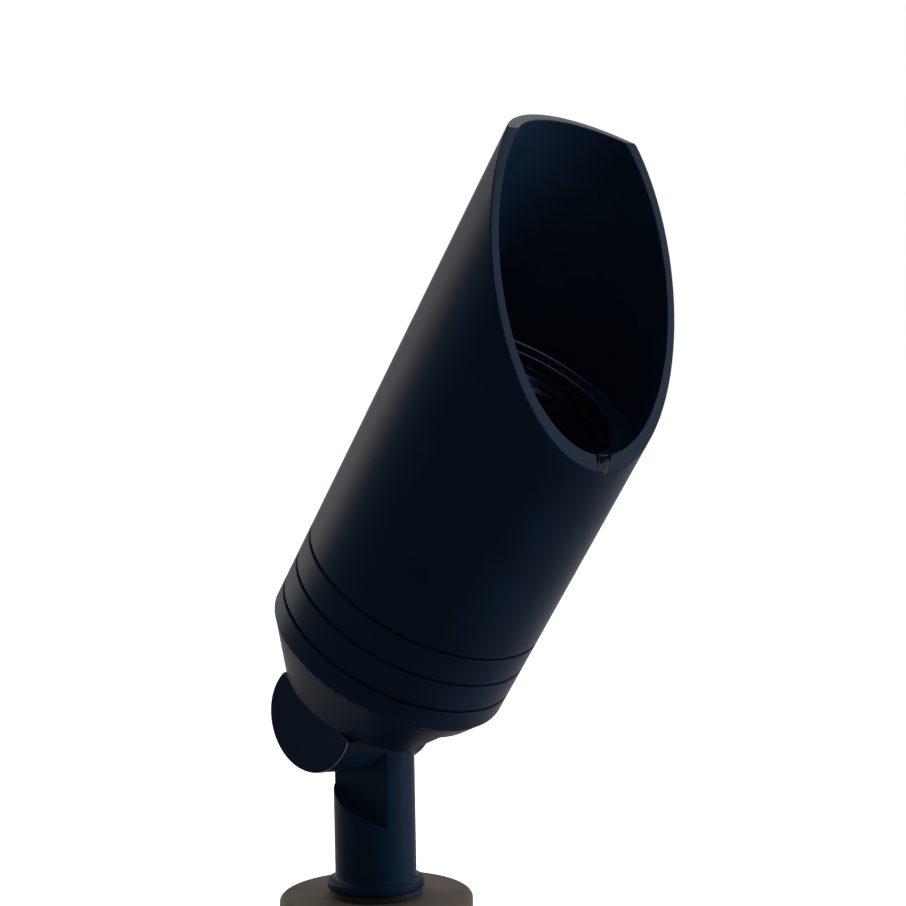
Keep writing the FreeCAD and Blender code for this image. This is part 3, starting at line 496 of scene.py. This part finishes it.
def as_object(mesh: bmesh.types.BMesh, name: str) -> bpy.types.Object:
    """Turns a bmesh into an object at the origin and frees the bmesh.

    Args:
        mesh: The finished shape.
        name: The object's name.

    Returns:
        The linked object.
    """
    data = bpy.data.meshes.new(name)
    mesh.to_mesh(data)
    mesh.free()
    piece = bpy.data.objects.new(name, data)
    bpy.context.scene.collection.objects.link(piece)
    return piece


class Cut(Enum):
    """How a tool shape changes a piece."""

    AWAY = "DIFFERENCE"
    ON = "UNION"


def combine(piece: bpy.types.Object, tool: bmesh.types.BMesh, cut: Cut) -> None:
    """Adds a tool shape to a piece or cuts it away, for good.

    Args:
        piece: The object that changes.
        tool: The tool shape, which is used up.
        cut: Whether it goes on or away.
    """
    helper = as_object(tool, "tool")
    modifier = piece.modifiers.new("combine", "BOOLEAN")
    modifier.operation = cut.value
    modifier.solver = "EXACT"
    modifier.object = helper
    graph = bpy.context.evaluated_depsgraph_get()
    data = bpy.data.meshes.new_from_object(piece.evaluated_get(graph))
    piece.modifiers.clear()
    old = piece.data
    piece.data = data
    data.name = piece.name
    bpy.data.meshes.remove(old)
    bpy.data.objects.remove(helper)


def soften(piece: bpy.types.Object, width: float, segments: int = 3, angle: float = 30.0,
           chosen: Callable[[bmesh.types.BMEdge], bool] | None = None) -> None:
    """Rounds a piece's sharp edges and shades it smooth with face-weighted normals.

    Args:
        piece: The object that changes.
        width: Width of the rounding in millimetres.
        segments: Chords in the rounding.
        angle: Edges that turn by more than this many degrees are sharp.
        chosen: Picks among the sharp edges, or None for all.
    """
    mesh = bmesh.new()
    mesh.from_mesh(piece.data)
    bmesh.ops.remove_doubles(mesh, verts=mesh.verts, dist=0.002 * MM)
    bmesh.ops.dissolve_degenerate(mesh, edges=mesh.edges, dist=0.002 * MM)
    limit = math.radians(angle)
    sharp = [edge for edge in mesh.edges if len(edge.link_faces) == 2
             and edge.calc_face_angle(0.0) > limit and (chosen is None or chosen(edge))]
    bmesh.ops.bevel(mesh, geom=sharp, offset=width * MM, offset_type="OFFSET", segments=segments,
                    profile=0.5, affect="EDGES", material=-1, clamp_overlap=False,
                    loop_slide=True)
    bmesh.ops.remove_doubles(mesh, verts=mesh.verts, dist=0.002 * MM)
    mesh.to_mesh(piece.data)
    mesh.free()
    shade(piece)


def shade(piece: bpy.types.Object, angle: float = 40.0) -> None:
    """Shades a piece smooth between its sharp edges, with face-weighted normals.

    Args:
        piece: The object.
        angle: Edges that turn by more than this many degrees stay sharp.
    """
    piece.data.shade_smooth()
    piece.data.set_sharp_from_angle(angle=math.radians(angle))
    weighted = piece.modifiers.new("weighted_normals", "WEIGHTED_NORMAL")
    weighted.keep_sharp = True
    weighted.weight = 80


@dataclass
class Piece:
    """A finished mesh with what it stands for."""

    shape: bpy.types.Object
    body: Body
    slot: Slot
    nodes: tuple[str, ...]

    def settle(self) -> None:
        """Rides the piece on its body and hides the nodes that it stands for."""
        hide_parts(*self.nodes)
        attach(self.shape, self.body.value)
        count = sum(len(face.vertices) - 2 for face in self.shape.data.polygons)
        LOG.info("%s rides on %s, %d triangles", self.shape.name, self.body.value, count)


# ---- places of the lamp head, from the frame's joints ----

def joint(name: str) -> dict:
    """The frame's joint of this name."""
    return next(item for item in frame["joints"] if item["name"] == name)


@dataclass(frozen=True)
class Aim:
    """Where the lamp head is aimed at rest."""

    hinge: Vector
    tube: Vector
    axis: Vector

    @classmethod
    def from_joints(cls) -> "Aim":
        """Reads the knuckle's middle and the tube's centre line from the joints."""
        turn = joint("shroud_turn")
        return cls(Vector(joint("knuckle_tilt")["pos_m"]), Vector(turn["pos_m"]),
                   Vector(turn["axis"]).normalized())

    @property
    def lean(self) -> Matrix:
        """The turn from upright to the tube's lean."""
        return Matrix.Rotation(math.atan2(self.axis.x, self.axis.z), 4, "Y")

    @property
    def on_tube(self) -> Matrix:
        """From the tube's centre line to the part's frame."""
        return Matrix.Translation(self.tube) @ self.lean

    @property
    def on_knuckle(self) -> Matrix:
        """From the knuckle's middle to the part's frame."""
        return Matrix.Translation(self.hinge) @ self.lean


# ---- sub-assemblies ----

@dataclass
class Shroud:
    """Slant-mouthed tube with its drain notch and the lip that holds the lens."""

    aim: Aim
    radius: float = 31.75
    wall: float = 2.8
    foot: float = 42.1
    tip: float = 156.25
    slant: float = 47.1
    mouth: float = 132.45
    turn: float = 4.4
    lip_top: float = 97.8
    lip_thick: float = 1.6
    lip_radius: float = 24.2
    corner: float = 0.3
    ring_low: float = 90.75
    ring_high: float = 92.05
    ring_depth: float = 0.65
    notch_width: float = 4.6
    notch_depth: float = 3.2
    edge: float = 0.32
    steps: int = 224

    @property
    def bore(self) -> float:
        """Radius of the tube's inside."""
        return self.radius - self.wall

    def outline(self) -> list[tuple[float, float]]:
        """Section of the tube, from the foot's outside up and back down the inside."""
        bore = self.bore
        lip_foot = self.lip_top - self.lip_thick
        lead_in = 0.8
        return [(self.radius, self.foot), (self.radius, self.tip), (bore, self.tip),
                (bore, self.lip_top + self.corner), (bore - self.corner, self.lip_top),
                (self.lip_radius, self.lip_top),
                (self.lip_radius, lip_foot), (bore, lip_foot), (bore, self.ring_high),
                (bore + self.ring_depth, self.ring_high), (bore + self.ring_depth, self.ring_low),
                (bore, self.ring_low), (bore, self.foot + lead_in), (bore + lead_in, self.foot)]

    def slit(self, mesh: bmesh.types.BMesh) -> None:
        """Cuts the slanted mouth and closes the rim between the two walls.

        Args:
            mesh: The tube, about its own centre line.
        """
        slant = math.radians(self.slant)
        normal = Vector((math.sin(slant), 0, math.cos(slant)))
        everything = list(mesh.verts) + list(mesh.edges) + list(mesh.faces)
        bmesh.ops.bisect_plane(mesh, geom=everything, dist=0.0005 * MM, plane_no=normal,
                               plane_co=Vector((0, 0, self.mouth * MM)), clear_outer=True)
        middle = (self.radius - self.wall / 2) * MM
        rims: dict[bool, list[bmesh.types.BMEdge]] = {True: [], False: []}
        for edge in mesh.edges:
            if not edge.is_boundary:
                continue
            radii = [vert.co.xy.length > middle for vert in edge.verts]
            if radii[0] == radii[1]:
                rims[radii[0]].append(edge)
        bmesh.ops.bridge_loops(mesh, edges=rims[True] + rims[False])
        bmesh.ops.recalc_face_normals(mesh, faces=mesh.faces)

    def notch(self) -> bmesh.types.BMesh:
        """V-shaped drain through the wall at the mouth's lowest point."""
        low = self.lip_top + 0.05
        top = low + self.notch_depth
        half = self.notch_width / 2
        start = self.bore - 0.6
        corners = [Vector((start, 0, low)), Vector((start, half, top)), Vector((start, -half, top))]
        return prism(corners, Vector((self.wall + 1.6, 0, 0)))

    def dress_details(self, shape: bpy.types.Object) -> None:
        """Marks the notch's worn flanks and the lip's two glazed edges.

        Args:
            shape: The softened tube, about its own centre line.
        """
        worn, glazed = 1, 2
        half = (self.notch_width / 2 + self.edge) * MM
        low = (self.lip_top - self.edge) * MM
        for face in shape.data.polygons:
            middle, normal = face.center, face.normal
            face.material_index = 0
            if middle.x > 0 and abs(middle.y) < half and middle.z > low and abs(normal.y) > 0.3:
                face.material_index = worn
            elif abs(middle.z - self.lip_top * MM) < 2 * self.corner * MM and (
                    0.2 < normal.z < 0.9 and middle.xy.length < self.bore * MM):
                face.material_index = glazed

    def build(self, finishes: Finishes) -> Piece:
        """Models and dresses the shroud.

        Args:
            finishes: The spotlight's finishes.

        Returns:
            The shroud's piece.
        """
        mesh = spun(self.outline(), self.steps)
        self.slit(mesh)
        shape = as_object(mesh, "shroud_tube")
        combine(shape, self.notch(), Cut.AWAY)
        shape.data.materials.clear()
        shape.data.materials.append(finishes.coat)
        shape.data.materials.append(finishes.worn)
        shape.data.materials.append(finishes.glazed)
        soften(shape, self.edge)
        self.dress_details(shape)
        placement = self.aim.on_tube @ Matrix.Rotation(-math.radians(self.turn), 4, "Z")
        shape.data.transform(placement)
        return Piece(shape, Body.SHROUD, Slot.POWDER_COAT, ("shroud",))


@dataclass
class RearHousing:
    """Grooved drum with its tapered tail, the knuckle's lug and the pocket for the stem."""

    aim: Aim
    radius: float = 31.75
    rear_radius: float = 22.2
    rear: float = 3.55
    tail_top: float = 18.95
    tail_step: float = 0.45
    grooves: tuple[float, ...] = (25.05, 33.35)
    groove: float = 0.8
    seam: float = 41.7
    spigot_top: float = 55.0
    spigot_radius: float = 28.87
    seal_levels: tuple[float, ...] = (46.0, 51.0)
    seal_floor: float = 27.05
    seal_half: float = 0.95
    cavity_radius: float = 25.4
    cavity_floor: float = 21.0
    crisp: float = 0.22
    steps: int = 224
    joint_offset: float = 5.24
    seat_gap: float = 0.05
    lug_radius: float = 15.6
    lug_face: float = 20.5
    lug_face_radius: float = 14.0
    lug_edge: float = 0.45
    pocket_radius: float = 16.1
    pocket_back: float = 11.0
    slot_top: float = 13.9
    key_way: float = 6.5
    wireway_inner: float = 6.0
    wireway_outer: float = 11.0
    wireway_depth: float = 9.7
    edge: float = 0.3

    def groove_points(self, level: float) -> list[tuple[float, float]]:
        """Section of one shadow groove with eased edges, from below up."""
        half = self.groove / 2
        floor = self.radius - self.groove
        ease = self.crisp
        return [(self.radius, level - half - ease), (self.radius - ease, level - half),
                (floor, level - half), (floor, level + half),
                (self.radius - ease, level + half), (self.radius, level + half + ease)]

    def outline(self) -> list[tuple[float, float]]:
        """Section of the casting from the tail's middle round to the cavity's floor."""
        rim = self.radius - self.tail_step
        ease = self.crisp
        points = [(0.0, self.rear), (self.rear_radius - 0.5, self.rear),
                  (self.rear_radius - 0.15, self.rear + 0.12), (self.rear_radius + 0.3, self.rear + 0.5),
                  (rim, self.tail_top - self.tail_step), (rim, self.tail_top - 0.05),
                  (self.radius - 0.14, self.tail_top), (self.radius, self.tail_top + 0.14)]
        for level in self.grooves:
            points += self.groove_points(level)
        low = self.seam - self.groove / 2
        floor = self.radius - self.groove
        shoulder = self.seam + self.groove / 2 - self.seat_gap
        points += [(self.radius, low - ease), (self.radius - ease, low), (floor, low),
                   (floor, shoulder), (self.spigot_radius, shoulder)]
        for level in self.seal_levels:
            points += [(self.spigot_radius, level - self.seal_half),
                       (self.seal_floor, level - self.seal_half),
                       (self.seal_floor, level + self.seal_half),
                       (self.spigot_radius, level + self.seal_half)]
        lead_in = 0.6
        points += [(self.spigot_radius, self.spigot_top - lead_in),
                   (self.spigot_radius - lead_in, self.spigot_top),
                   (self.cavity_radius, self.spigot_top), (self.cavity_radius, self.cavity_floor),
                   (0.0, self.cavity_floor)]
        return points

    def lug(self) -> bmesh.types.BMesh:
        """Drafted disc of the knuckle, cut level under the tail."""
        inner = self.joint_offset + self.seat_gap
        mesh = rod(self.lug_radius, self.lug_face_radius, inner, self.lug_face,
                   Vector((0, -1, 0)), 128)
        everything = list(mesh.verts) + list(mesh.edges) + list(mesh.faces)
        bmesh.ops.bisect_plane(mesh, geom=everything, dist=0.0005 * MM,
                               plane_co=Vector((0, 0, self.rear * MM)),
                               plane_no=Vector((0, 0, 1)), clear_outer=True)
        edges = [edge for edge in mesh.edges if edge.is_boundary]
        bmesh.ops.contextual_create(mesh, geom=edges)
        bmesh.ops.recalc_face_normals(mesh, faces=mesh.faces)
        return mesh

    def tube_shift(self) -> tuple[float, float]:
        """Place of the tube's centre line from the knuckle's middle, in millimetres."""
        shift = self.aim.on_knuckle.inverted() @ self.aim.tube
        return shift.x / MM, shift.y / MM

    def wireway(self) -> bmesh.types.BMesh:
        """Ring-shaped hollow in the lug for the wires, round the screw's boss."""
        depth = self.joint_offset + self.seat_gap + self.wireway_depth
        opened = self.joint_offset - 1.0
        ring = [(self.wireway_inner, opened), (self.wireway_outer, opened),
                (self.wireway_outer, depth), (self.wireway_inner, depth)]
        return placed(spun(ring, 96), Matrix.Rotation(math.radians(90), 4, "X"))

    def dress_edges(self, shape: bpy.types.Object, axis: Vector) -> None:
        """Marks the rubbed edges that catch the light: the drum's foot and the lug's face.

        Args:
            shape: The softened casting, about the knuckle's middle.
            axis: Where the tube's centre line passes, in millimetres.
        """
        glazed = 1
        near = 0.3
        for face in shape.data.polygons:
            middle, normal = face.center / MM, face.normal
            out = (middle.xy - axis).length
            foot = abs(middle.z - self.tail_top) < near and out > self.radius - near
            lip = middle.y < near - self.lug_face and middle.z < self.rear
            rubbed = (lip and -0.95 < normal.y < -0.2) or (foot and -0.95 < normal.z < -0.3)
            face.material_index = glazed if rubbed else 0

    def build(self, finishes: Finishes) -> Piece:
        """Models and dresses the housing.

        Args:
            finishes: The spotlight's finishes.

        Returns:
            The housing's piece.
        """
        across = Vector((0, 1, 0))
        face = -self.joint_offset - self.seat_gap
        shift_x, shift_y = self.tube_shift()
        drum = placed(spun(self.outline(), self.steps),
                      Matrix.Translation(Vector((shift_x, shift_y, 0)) * MM))
        shape = as_object(drum, "rear_housing_casting")
        combine(shape, self.lug(), Cut.ON)
        combine(shape, rod(self.pocket_radius, self.pocket_radius, face, self.pocket_back, across,
                           128), Cut.AWAY)
        combine(shape, brick(Vector((0, face, -40)), Vector((70, self.pocket_back, self.slot_top))),
                Cut.AWAY)
        combine(shape, rod(self.key_way, self.key_way, self.pocket_back - 1, 60, across, 64),
                Cut.AWAY)
        combine(shape, self.wireway(), Cut.AWAY)
        combine(shape, rod(3.05, 3.05, -17.7, face + 1, across, 48), Cut.AWAY)
        shape.data.materials.clear()
        shape.data.materials.append(finishes.coat)
        shape.data.materials.append(finishes.glazed)
        low = (self.tail_top - 1.0) * MM
        soften(shape, self.edge, angle=28.0,
               chosen=lambda edge: max(vert.co.z for vert in edge.verts) < low)
        self.dress_edges(shape, Vector((shift_x, shift_y)))
        shape.data.transform(self.aim.on_knuckle)
        return Piece(shape, Body.FIXTURE, Slot.POWDER_COAT, ("rear_housing",))


@dataclass
class Stem:
    """Post with its flange, flat, sloping ledge and the knuckle's round head."""

    aim: Aim
    post_radius: float = 10.5
    thread_radius: float = 10.35
    thread_foot: float = -5.0
    flange_radius: float = 12.55
    flange_low: float = 10.8
    flange_high: float = 13.3
    flange_edge: float = 0.8
    foot_fillet: float = 1.2
    joint_offset: float = 5.24
    head_radius: float = 15.6
    head_back: float = 10.5
    head_edge: float = 0.7
    ledge_level: float = 32.68
    ledge_slope: float = 28.0
    recess_radius: float = 5.6
    recess_floor: float = 3.26
    screw_bore: float = 3.2
    edge: float = 0.3
    steps: int = 128

    def outline(self, top: float) -> list[tuple[float, float]]:
        """Section of the post from the thread's foot to the knuckle."""
        edge = self.flange_edge
        fillet = self.foot_fillet
        points = [(0.0, self.thread_foot), (self.thread_radius - 0.5, self.thread_foot),
                  (self.thread_radius, self.thread_foot + 0.5),
                  (self.thread_radius, self.flange_low)]
        points += arc_points((self.flange_radius - edge, self.flange_low + edge), edge, -90, 0, 6)
        points += arc_points((self.flange_radius - edge, self.flange_high - edge), edge, 0, 90, 6)
        points += arc_points((self.post_radius + fillet, self.flange_high + fillet), fillet,
                             270, 180, 8)
        points += [(self.post_radius, top), (0.0, top)]
        return points

    def ledge(self, hinge: float) -> bmesh.types.BMesh:
        """What is milled off the lug's side: flat above, sloping ledge below."""
        reach = 2 * self.post_radius
        rise = reach * math.tan(math.radians(self.ledge_slope))
        corners = [Vector((-reach, -self.joint_offset, self.ledge_level + rise)),
                   Vector((reach, -self.joint_offset, self.ledge_level - rise)),
                   Vector((reach, -self.joint_offset, hinge + 2 * self.head_radius)),
                   Vector((-reach, -self.joint_offset, hinge + 2 * self.head_radius))]
        return prism(corners, Vector((0, -reach, 0)))

    def head(self) -> bmesh.types.BMesh:
        """Knuckle disc with its eased far edge."""
        edge = self.head_edge
        outline = [(0.0, -self.joint_offset), (self.head_radius, -self.joint_offset)]
        outline += arc_points((self.head_radius - edge, self.head_back - edge), edge, 0, 90, 5)
        outline += [(0.0, self.head_back)]
        turned = placed(spun(outline, self.steps), Matrix.Rotation(math.radians(-90), 4, "X"))
        return placed(turned, Matrix.Translation(self.aim.hinge))

    def build(self, finishes: Finishes) -> Piece:
        """Models and dresses the stem.

        Args:
            finishes: The spotlight's finishes.

        Returns:
            The stem's piece.
        """
        across = Vector((0, 1, 0))
        hinge = self.aim.hinge.z / MM
        up = Matrix.Translation(self.aim.hinge)
        shape = as_object(spun(self.outline(hinge), self.steps), "stem_post")
        combine(shape, self.ledge(hinge), Cut.AWAY)
        combine(shape, self.head(), Cut.ON)
        combine(shape, placed(rod(self.recess_radius, self.recess_radius, self.recess_floor,
                                  self.head_back + 1, across, 64), up), Cut.AWAY)
        combine(shape, placed(rod(self.screw_bore, self.screw_bore, -self.joint_offset - 1,
                                  self.recess_floor + 1, across, 48), up), Cut.AWAY)
        shape.data.materials.clear()
        # The stem takes the lighter copy of the coat, which holds painted light.
        shape.data.materials.append(finishes.stem_coat_painted_lighter)
        foot = (self.flange_high + self.foot_fillet + 0.5) * MM
        soften(shape, self.edge, angle=32.0,
               chosen=lambda edge: min(vert.co.z for vert in edge.verts) > foot)
        return Piece(shape, Body.STEM, Slot.POWDER_COAT, ("stem",))


@dataclass
class GroundStake:
    """Moulded stake: round cap, hub with its wire window, four crossed blades."""

    cap_radius: float = 25.0
    cap_thick: float = 9.0
    cap_edge: float = 1.6
    length: float = 208.0
    point: float = 48.0
    blade_thick: float = 4.0
    blade_top: float = 20.5
    blade_waist: float = 12.5
    core_radius: float = 5.5
    hub_radius: float = 15.0
    hub_length: float = 27.0
    hub_draft: float = 1.2
    bore_radius: float = 10.43
    chamber_radius: float = 7.6
    window_top: float = -7.2
    window_low: float = -16.2
    window_width: float = 9.0
    edge: float = 0.4
    steps: int = 128

    def outline(self) -> list[tuple[float, float]]:
        """Section of the cap, the hub and the core between the blades."""
        edge = self.cap_edge
        waist = self.point - self.length
        foot_edge = 0.6
        points = [(0.0, waist), (self.blade_thick / 2, waist),
                  (self.core_radius, -self.hub_length), (self.hub_radius - self.hub_draft,
                                                         -self.hub_length),
                  (self.hub_radius, 0.0), (self.cap_radius - foot_edge, 0.0),
                  (self.cap_radius, foot_edge)]
        points += arc_points((self.cap_radius - edge, self.cap_thick - edge), edge, 0, 90, 8)
        points += [(0.0, self.cap_thick)]
        return points

    def blade(self, turn: float) -> bmesh.types.BMesh:
        """One flat blade with its point, turned about the stake's axis."""
        waist = self.point - self.length
        half = self.blade_thick / 2
        corners = [Vector((-self.blade_top, -half, 0.5)), Vector((self.blade_top, -half, 0.5)),
                   Vector((self.blade_waist, -half, waist)), Vector((0, -half, -self.length)),
                   Vector((-self.blade_waist, -half, waist))]
        mesh = prism(corners, Vector((0, self.blade_thick, 0)))
        return placed(mesh, Matrix.Rotation(math.radians(turn), 4, "Z"))

    def build(self, finishes: Finishes) -> Piece:
        """Models and dresses the stake.

        Args:
            finishes: The spotlight's finishes.

        Returns:
            The stake's piece.
        """
        upright = Vector((0, 0, 1))
        half = self.window_width / 2
        shape = as_object(spun(self.outline(), self.steps), "ground_stake_moulding")
        for turn in (45.0, -45.0):
            combine(shape, self.blade(turn), Cut.ON)
        combine(shape, rod(self.bore_radius, self.bore_radius, self.window_top,
                           self.cap_thick + 1, upright, self.steps), Cut.AWAY)
        combine(shape, rod(self.chamber_radius, self.chamber_radius, self.window_low,
                           self.window_top + 1, upright, 96), Cut.AWAY)
        combine(shape, brick(Vector((-30, -half, self.window_low)),
                             Vector((30, half, self.window_top))), Cut.AWAY)
        shape.data.materials.clear()
        shape.data.materials.append(finishes.stake)
        soften(shape, self.edge, angle=35.0)
        return Piece(shape, Body.STAKE, Slot.STAKE_PLASTIC, ("ground_stake",))


class CarriedNodes:
    """The frame's own nodes that stay, each with its finish."""

    def __init__(self, finishes: Finishes) -> None:
        """Pairs each node with its finish.

        Args:
            finishes: The spotlight's finishes.
        """
        self.finish_of: dict[str, bpy.types.Material] = {
            "ground_stake": finishes.stake,
            # The stem's carried node takes the coat copy that holds painted light.
            "stem": finishes.stem_coat_painted_lighter,
            "rear_housing": finishes.coat,
            "shroud": finishes.coat,
            "stem_seal": finishes.rubber,
            "stem_grommet": finishes.rubber,
            "knuckle_seal": finishes.rubber,
            "shroud_seals": finishes.rubber,
            "housing_plug": finishes.rubber,
            "lens_gasket": finishes.silicone,
            "lens": finishes.lens,
            "lens_clip": finishes.steel,
            "knuckle_screw": finishes.steel,
            "knuckle_washer": finishes.steel,
            "socket_screws": finishes.steel,
            "bracket_screws": finishes.steel,
            "socket_bracket": finishes.steel,
            "lamp_body": finishes.casting,
            "lamp_board": finishes.board,
            "lamp_optic": finishes.shade_tinted_optic,
            "lamp_base": finishes.lamp_foot,
            "lamp_pins": finishes.brass,
            "socket_contacts": finishes.brass,
            "lamp_socket": finishes.ceramic,
            "socket_leads": finishes.sleeve,
        }

    def dress(self) -> None:
        """Gives every node its finish."""
        for name, node in frame["nodes"].items():
            for index in range(len(node.material_slots)):
                node.material_slots[index].link = "OBJECT"
                node.material_slots[index].material = self.finish_of[name]
        LOG.info("%d carried nodes dressed", len(frame["nodes"]))


# ---- studio ----

@dataclass(frozen=True)
class SoftLamp:
    """One soft area lamp that looks at a point."""

    name: str
    place: tuple[float, float, float]
    target: tuple[float, float, float]
    size: tuple[float, float]
    power: float
    colour: Colour = (1.0, 1.0, 1.0)

    def hang(self) -> None:
        """Puts the lamp in the scene."""
        data = bpy.data.lights.new(self.name, "AREA")
        data.shape = "RECTANGLE"
        data.size, data.size_y = self.size
        data.energy = self.power
        data.color = self.colour
        lamp = bpy.data.objects.new(self.name, data)
        lamp.location = self.place
        direction = Vector(self.target) - Vector(self.place)
        lamp.rotation_euler = direction.to_track_quat("-Z", "Y").to_euler()
        bpy.context.scene.collection.objects.link(lamp)


@dataclass(frozen=True)
class Studio:
    """White floor, white surroundings and soft lamps."""

    floor_level: float = -0.2085
    floor_size: float = 12.0
    white: float = 1.0
    dim: float = 0.55

    def surroundings(self) -> None:
        """Makes the world white where it is seen and softer where it lights."""
        world = bpy.data.worlds.new("studio")
        bpy.context.scene.world = world
        world.use_nodes = True
        tree = world.node_tree
        tree.nodes.clear()
        output = tree.nodes.new("ShaderNodeOutputWorld")
        mix = tree.nodes.new("ShaderNodeMixShader")
        seen = tree.nodes.new("ShaderNodeBackground")
        lit = tree.nodes.new("ShaderNodeBackground")
        rays = tree.nodes.new("ShaderNodeLightPath")
        most = tree.nodes.new("ShaderNodeMath")
        most.operation = "MAXIMUM"
        most_of_all = tree.nodes.new("ShaderNodeMath")
        most_of_all.operation = "MAXIMUM"
        for background, strength in ((seen, self.white), (lit, self.dim)):
            background.inputs["Color"].default_value = (1.0, 1.0, 1.0, 1.0)
            background.inputs["Strength"].default_value = strength
        tree.links.new(rays.outputs["Is Camera Ray"], most.inputs[0])
        tree.links.new(rays.outputs["Is Glossy Ray"], most.inputs[1])
        tree.links.new(most.outputs[0], most_of_all.inputs[0])
        tree.links.new(rays.outputs["Is Transmission Ray"], most_of_all.inputs[1])
        tree.links.new(most_of_all.outputs[0], mix.inputs["Fac"])
        tree.links.new(lit.outputs[0], mix.inputs[1])
        tree.links.new(seen.outputs[0], mix.inputs[2])
        tree.links.new(mix.outputs[0], output.inputs["Surface"])

    def floor(self) -> None:
        """Lays a white floor under the stake's point, which keeps the shadow."""
        mesh = bmesh.new()
        bmesh.ops.create_grid(mesh, x_segments=1, y_segments=1, size=self.floor_size / 2)
        bmesh.ops.translate(mesh, verts=mesh.verts, vec=(0, 0, self.floor_level))
        floor = as_object(mesh, "floor")
        material = bpy.data.materials.new("floor_white")
        material.use_nodes = True
        tree = material.node_tree
        tree.nodes.clear()
        output = tree.nodes.new("ShaderNodeOutputMaterial")
        diffuse = tree.nodes.new("ShaderNodeBsdfDiffuse")
        diffuse.inputs["Color"].default_value = (0.38, 0.33, 0.29, 1.0)
        glow = tree.nodes.new("ShaderNodeEmission")
        glow.inputs["Strength"].default_value = 0.95
        rays = tree.nodes.new("ShaderNodeLightPath")
        most = tree.nodes.new("ShaderNodeMath")
        most.operation = "MAXIMUM"
        add = tree.nodes.new("ShaderNodeAddShader")
        mix = tree.nodes.new("ShaderNodeMixShader")
        tree.links.new(rays.outputs["Is Camera Ray"], most.inputs[0])
        tree.links.new(rays.outputs["Is Glossy Ray"], most.inputs[1])
        tree.links.new(most.outputs[0], mix.inputs["Fac"])
        tree.links.new(diffuse.outputs[0], add.inputs[0])
        tree.links.new(glow.outputs[0], add.inputs[1])
        tree.links.new(diffuse.outputs[0], mix.inputs[1])
        tree.links.new(add.outputs[0], mix.inputs[2])
        tree.links.new(mix.outputs[0], output.inputs["Surface"])
        floor.data.materials.append(material)

    def lamps(self) -> list[SoftLamp]:
        """The key from the upper left, a fill from the right and a soft top."""
        middle = (0.03, 0.0, 0.1)
        return [
            SoftLamp("key_left", (-1.30, -0.02, 0.60), middle, (0.7, 1.3), 16.0,
                     (1.0, 0.93, 0.80)),
            SoftLamp("rim_top", (-0.30, 1.15, 1.15), middle, (0.9, 0.7), 11.0,
                     (1.0, 0.93, 0.82)),
            SoftLamp("fill_right", (0.95, 0.95, 0.35), middle, (0.7, 1.2), 32.0,
                     (0.93, 0.98, 1.0)),
            SoftLamp("top", (0.1, -0.1, 1.6), middle, (1.0, 1.0), 6.0),
        ]

    def set_up(self) -> None:
        """Builds the whole studio."""
        self.surroundings()
        self.floor()
        for lamp in self.lamps():
            lamp.hang()


@dataclass(frozen=True)
class PortraitCamera:
    """The photograph's view, as fitted to the tube's edges and the knuckle."""

    place: tuple[float, float, float] = (0.3882, -0.41125, 0.15612)
    azimuth: float = 41.14
    pitch: float = -3.4
    roll: float = -1.0
    lens: float = 88.0
    sensor: float = 36.0

    def set_up(self) -> None:
        """Puts the camera in the scene and makes it the scene's own."""
        data = bpy.data.cameras.new("portrait")
        data.lens = self.lens
        data.sensor_width = self.sensor
        data.sensor_fit = "AUTO"
        data.clip_start = 0.01
        camera = bpy.data.objects.new("portrait", data)
        turn = Matrix.Rotation(math.radians(self.azimuth), 4, "Z")
        tilt = Matrix.Rotation(math.radians(90 + self.pitch), 4, "X")
        lean = Matrix.Rotation(math.radians(self.roll), 4, "Z")
        camera.matrix_world = Matrix.Translation(self.place) @ turn @ tilt @ lean
        bpy.context.scene.collection.objects.link(camera)
        bpy.context.scene.camera = camera


def main() -> None:
    """Builds the spotlight piece by piece, then the studio and the camera."""
    logging.basicConfig(level=logging.INFO, format="%(message)s")
    bpy.context.scene.view_settings.view_transform = "Standard"
    PortraitCamera().set_up()
    finishes = Finishes()
    CarriedNodes(finishes).dress()
    aim = Aim.from_joints()
    makers = (Shroud(aim), RearHousing(aim), Stem(aim), GroundStake())
    for maker in makers:
        maker.build(finishes).settle()
    Studio().set_up()


if __name__ == "__main__":
    main()
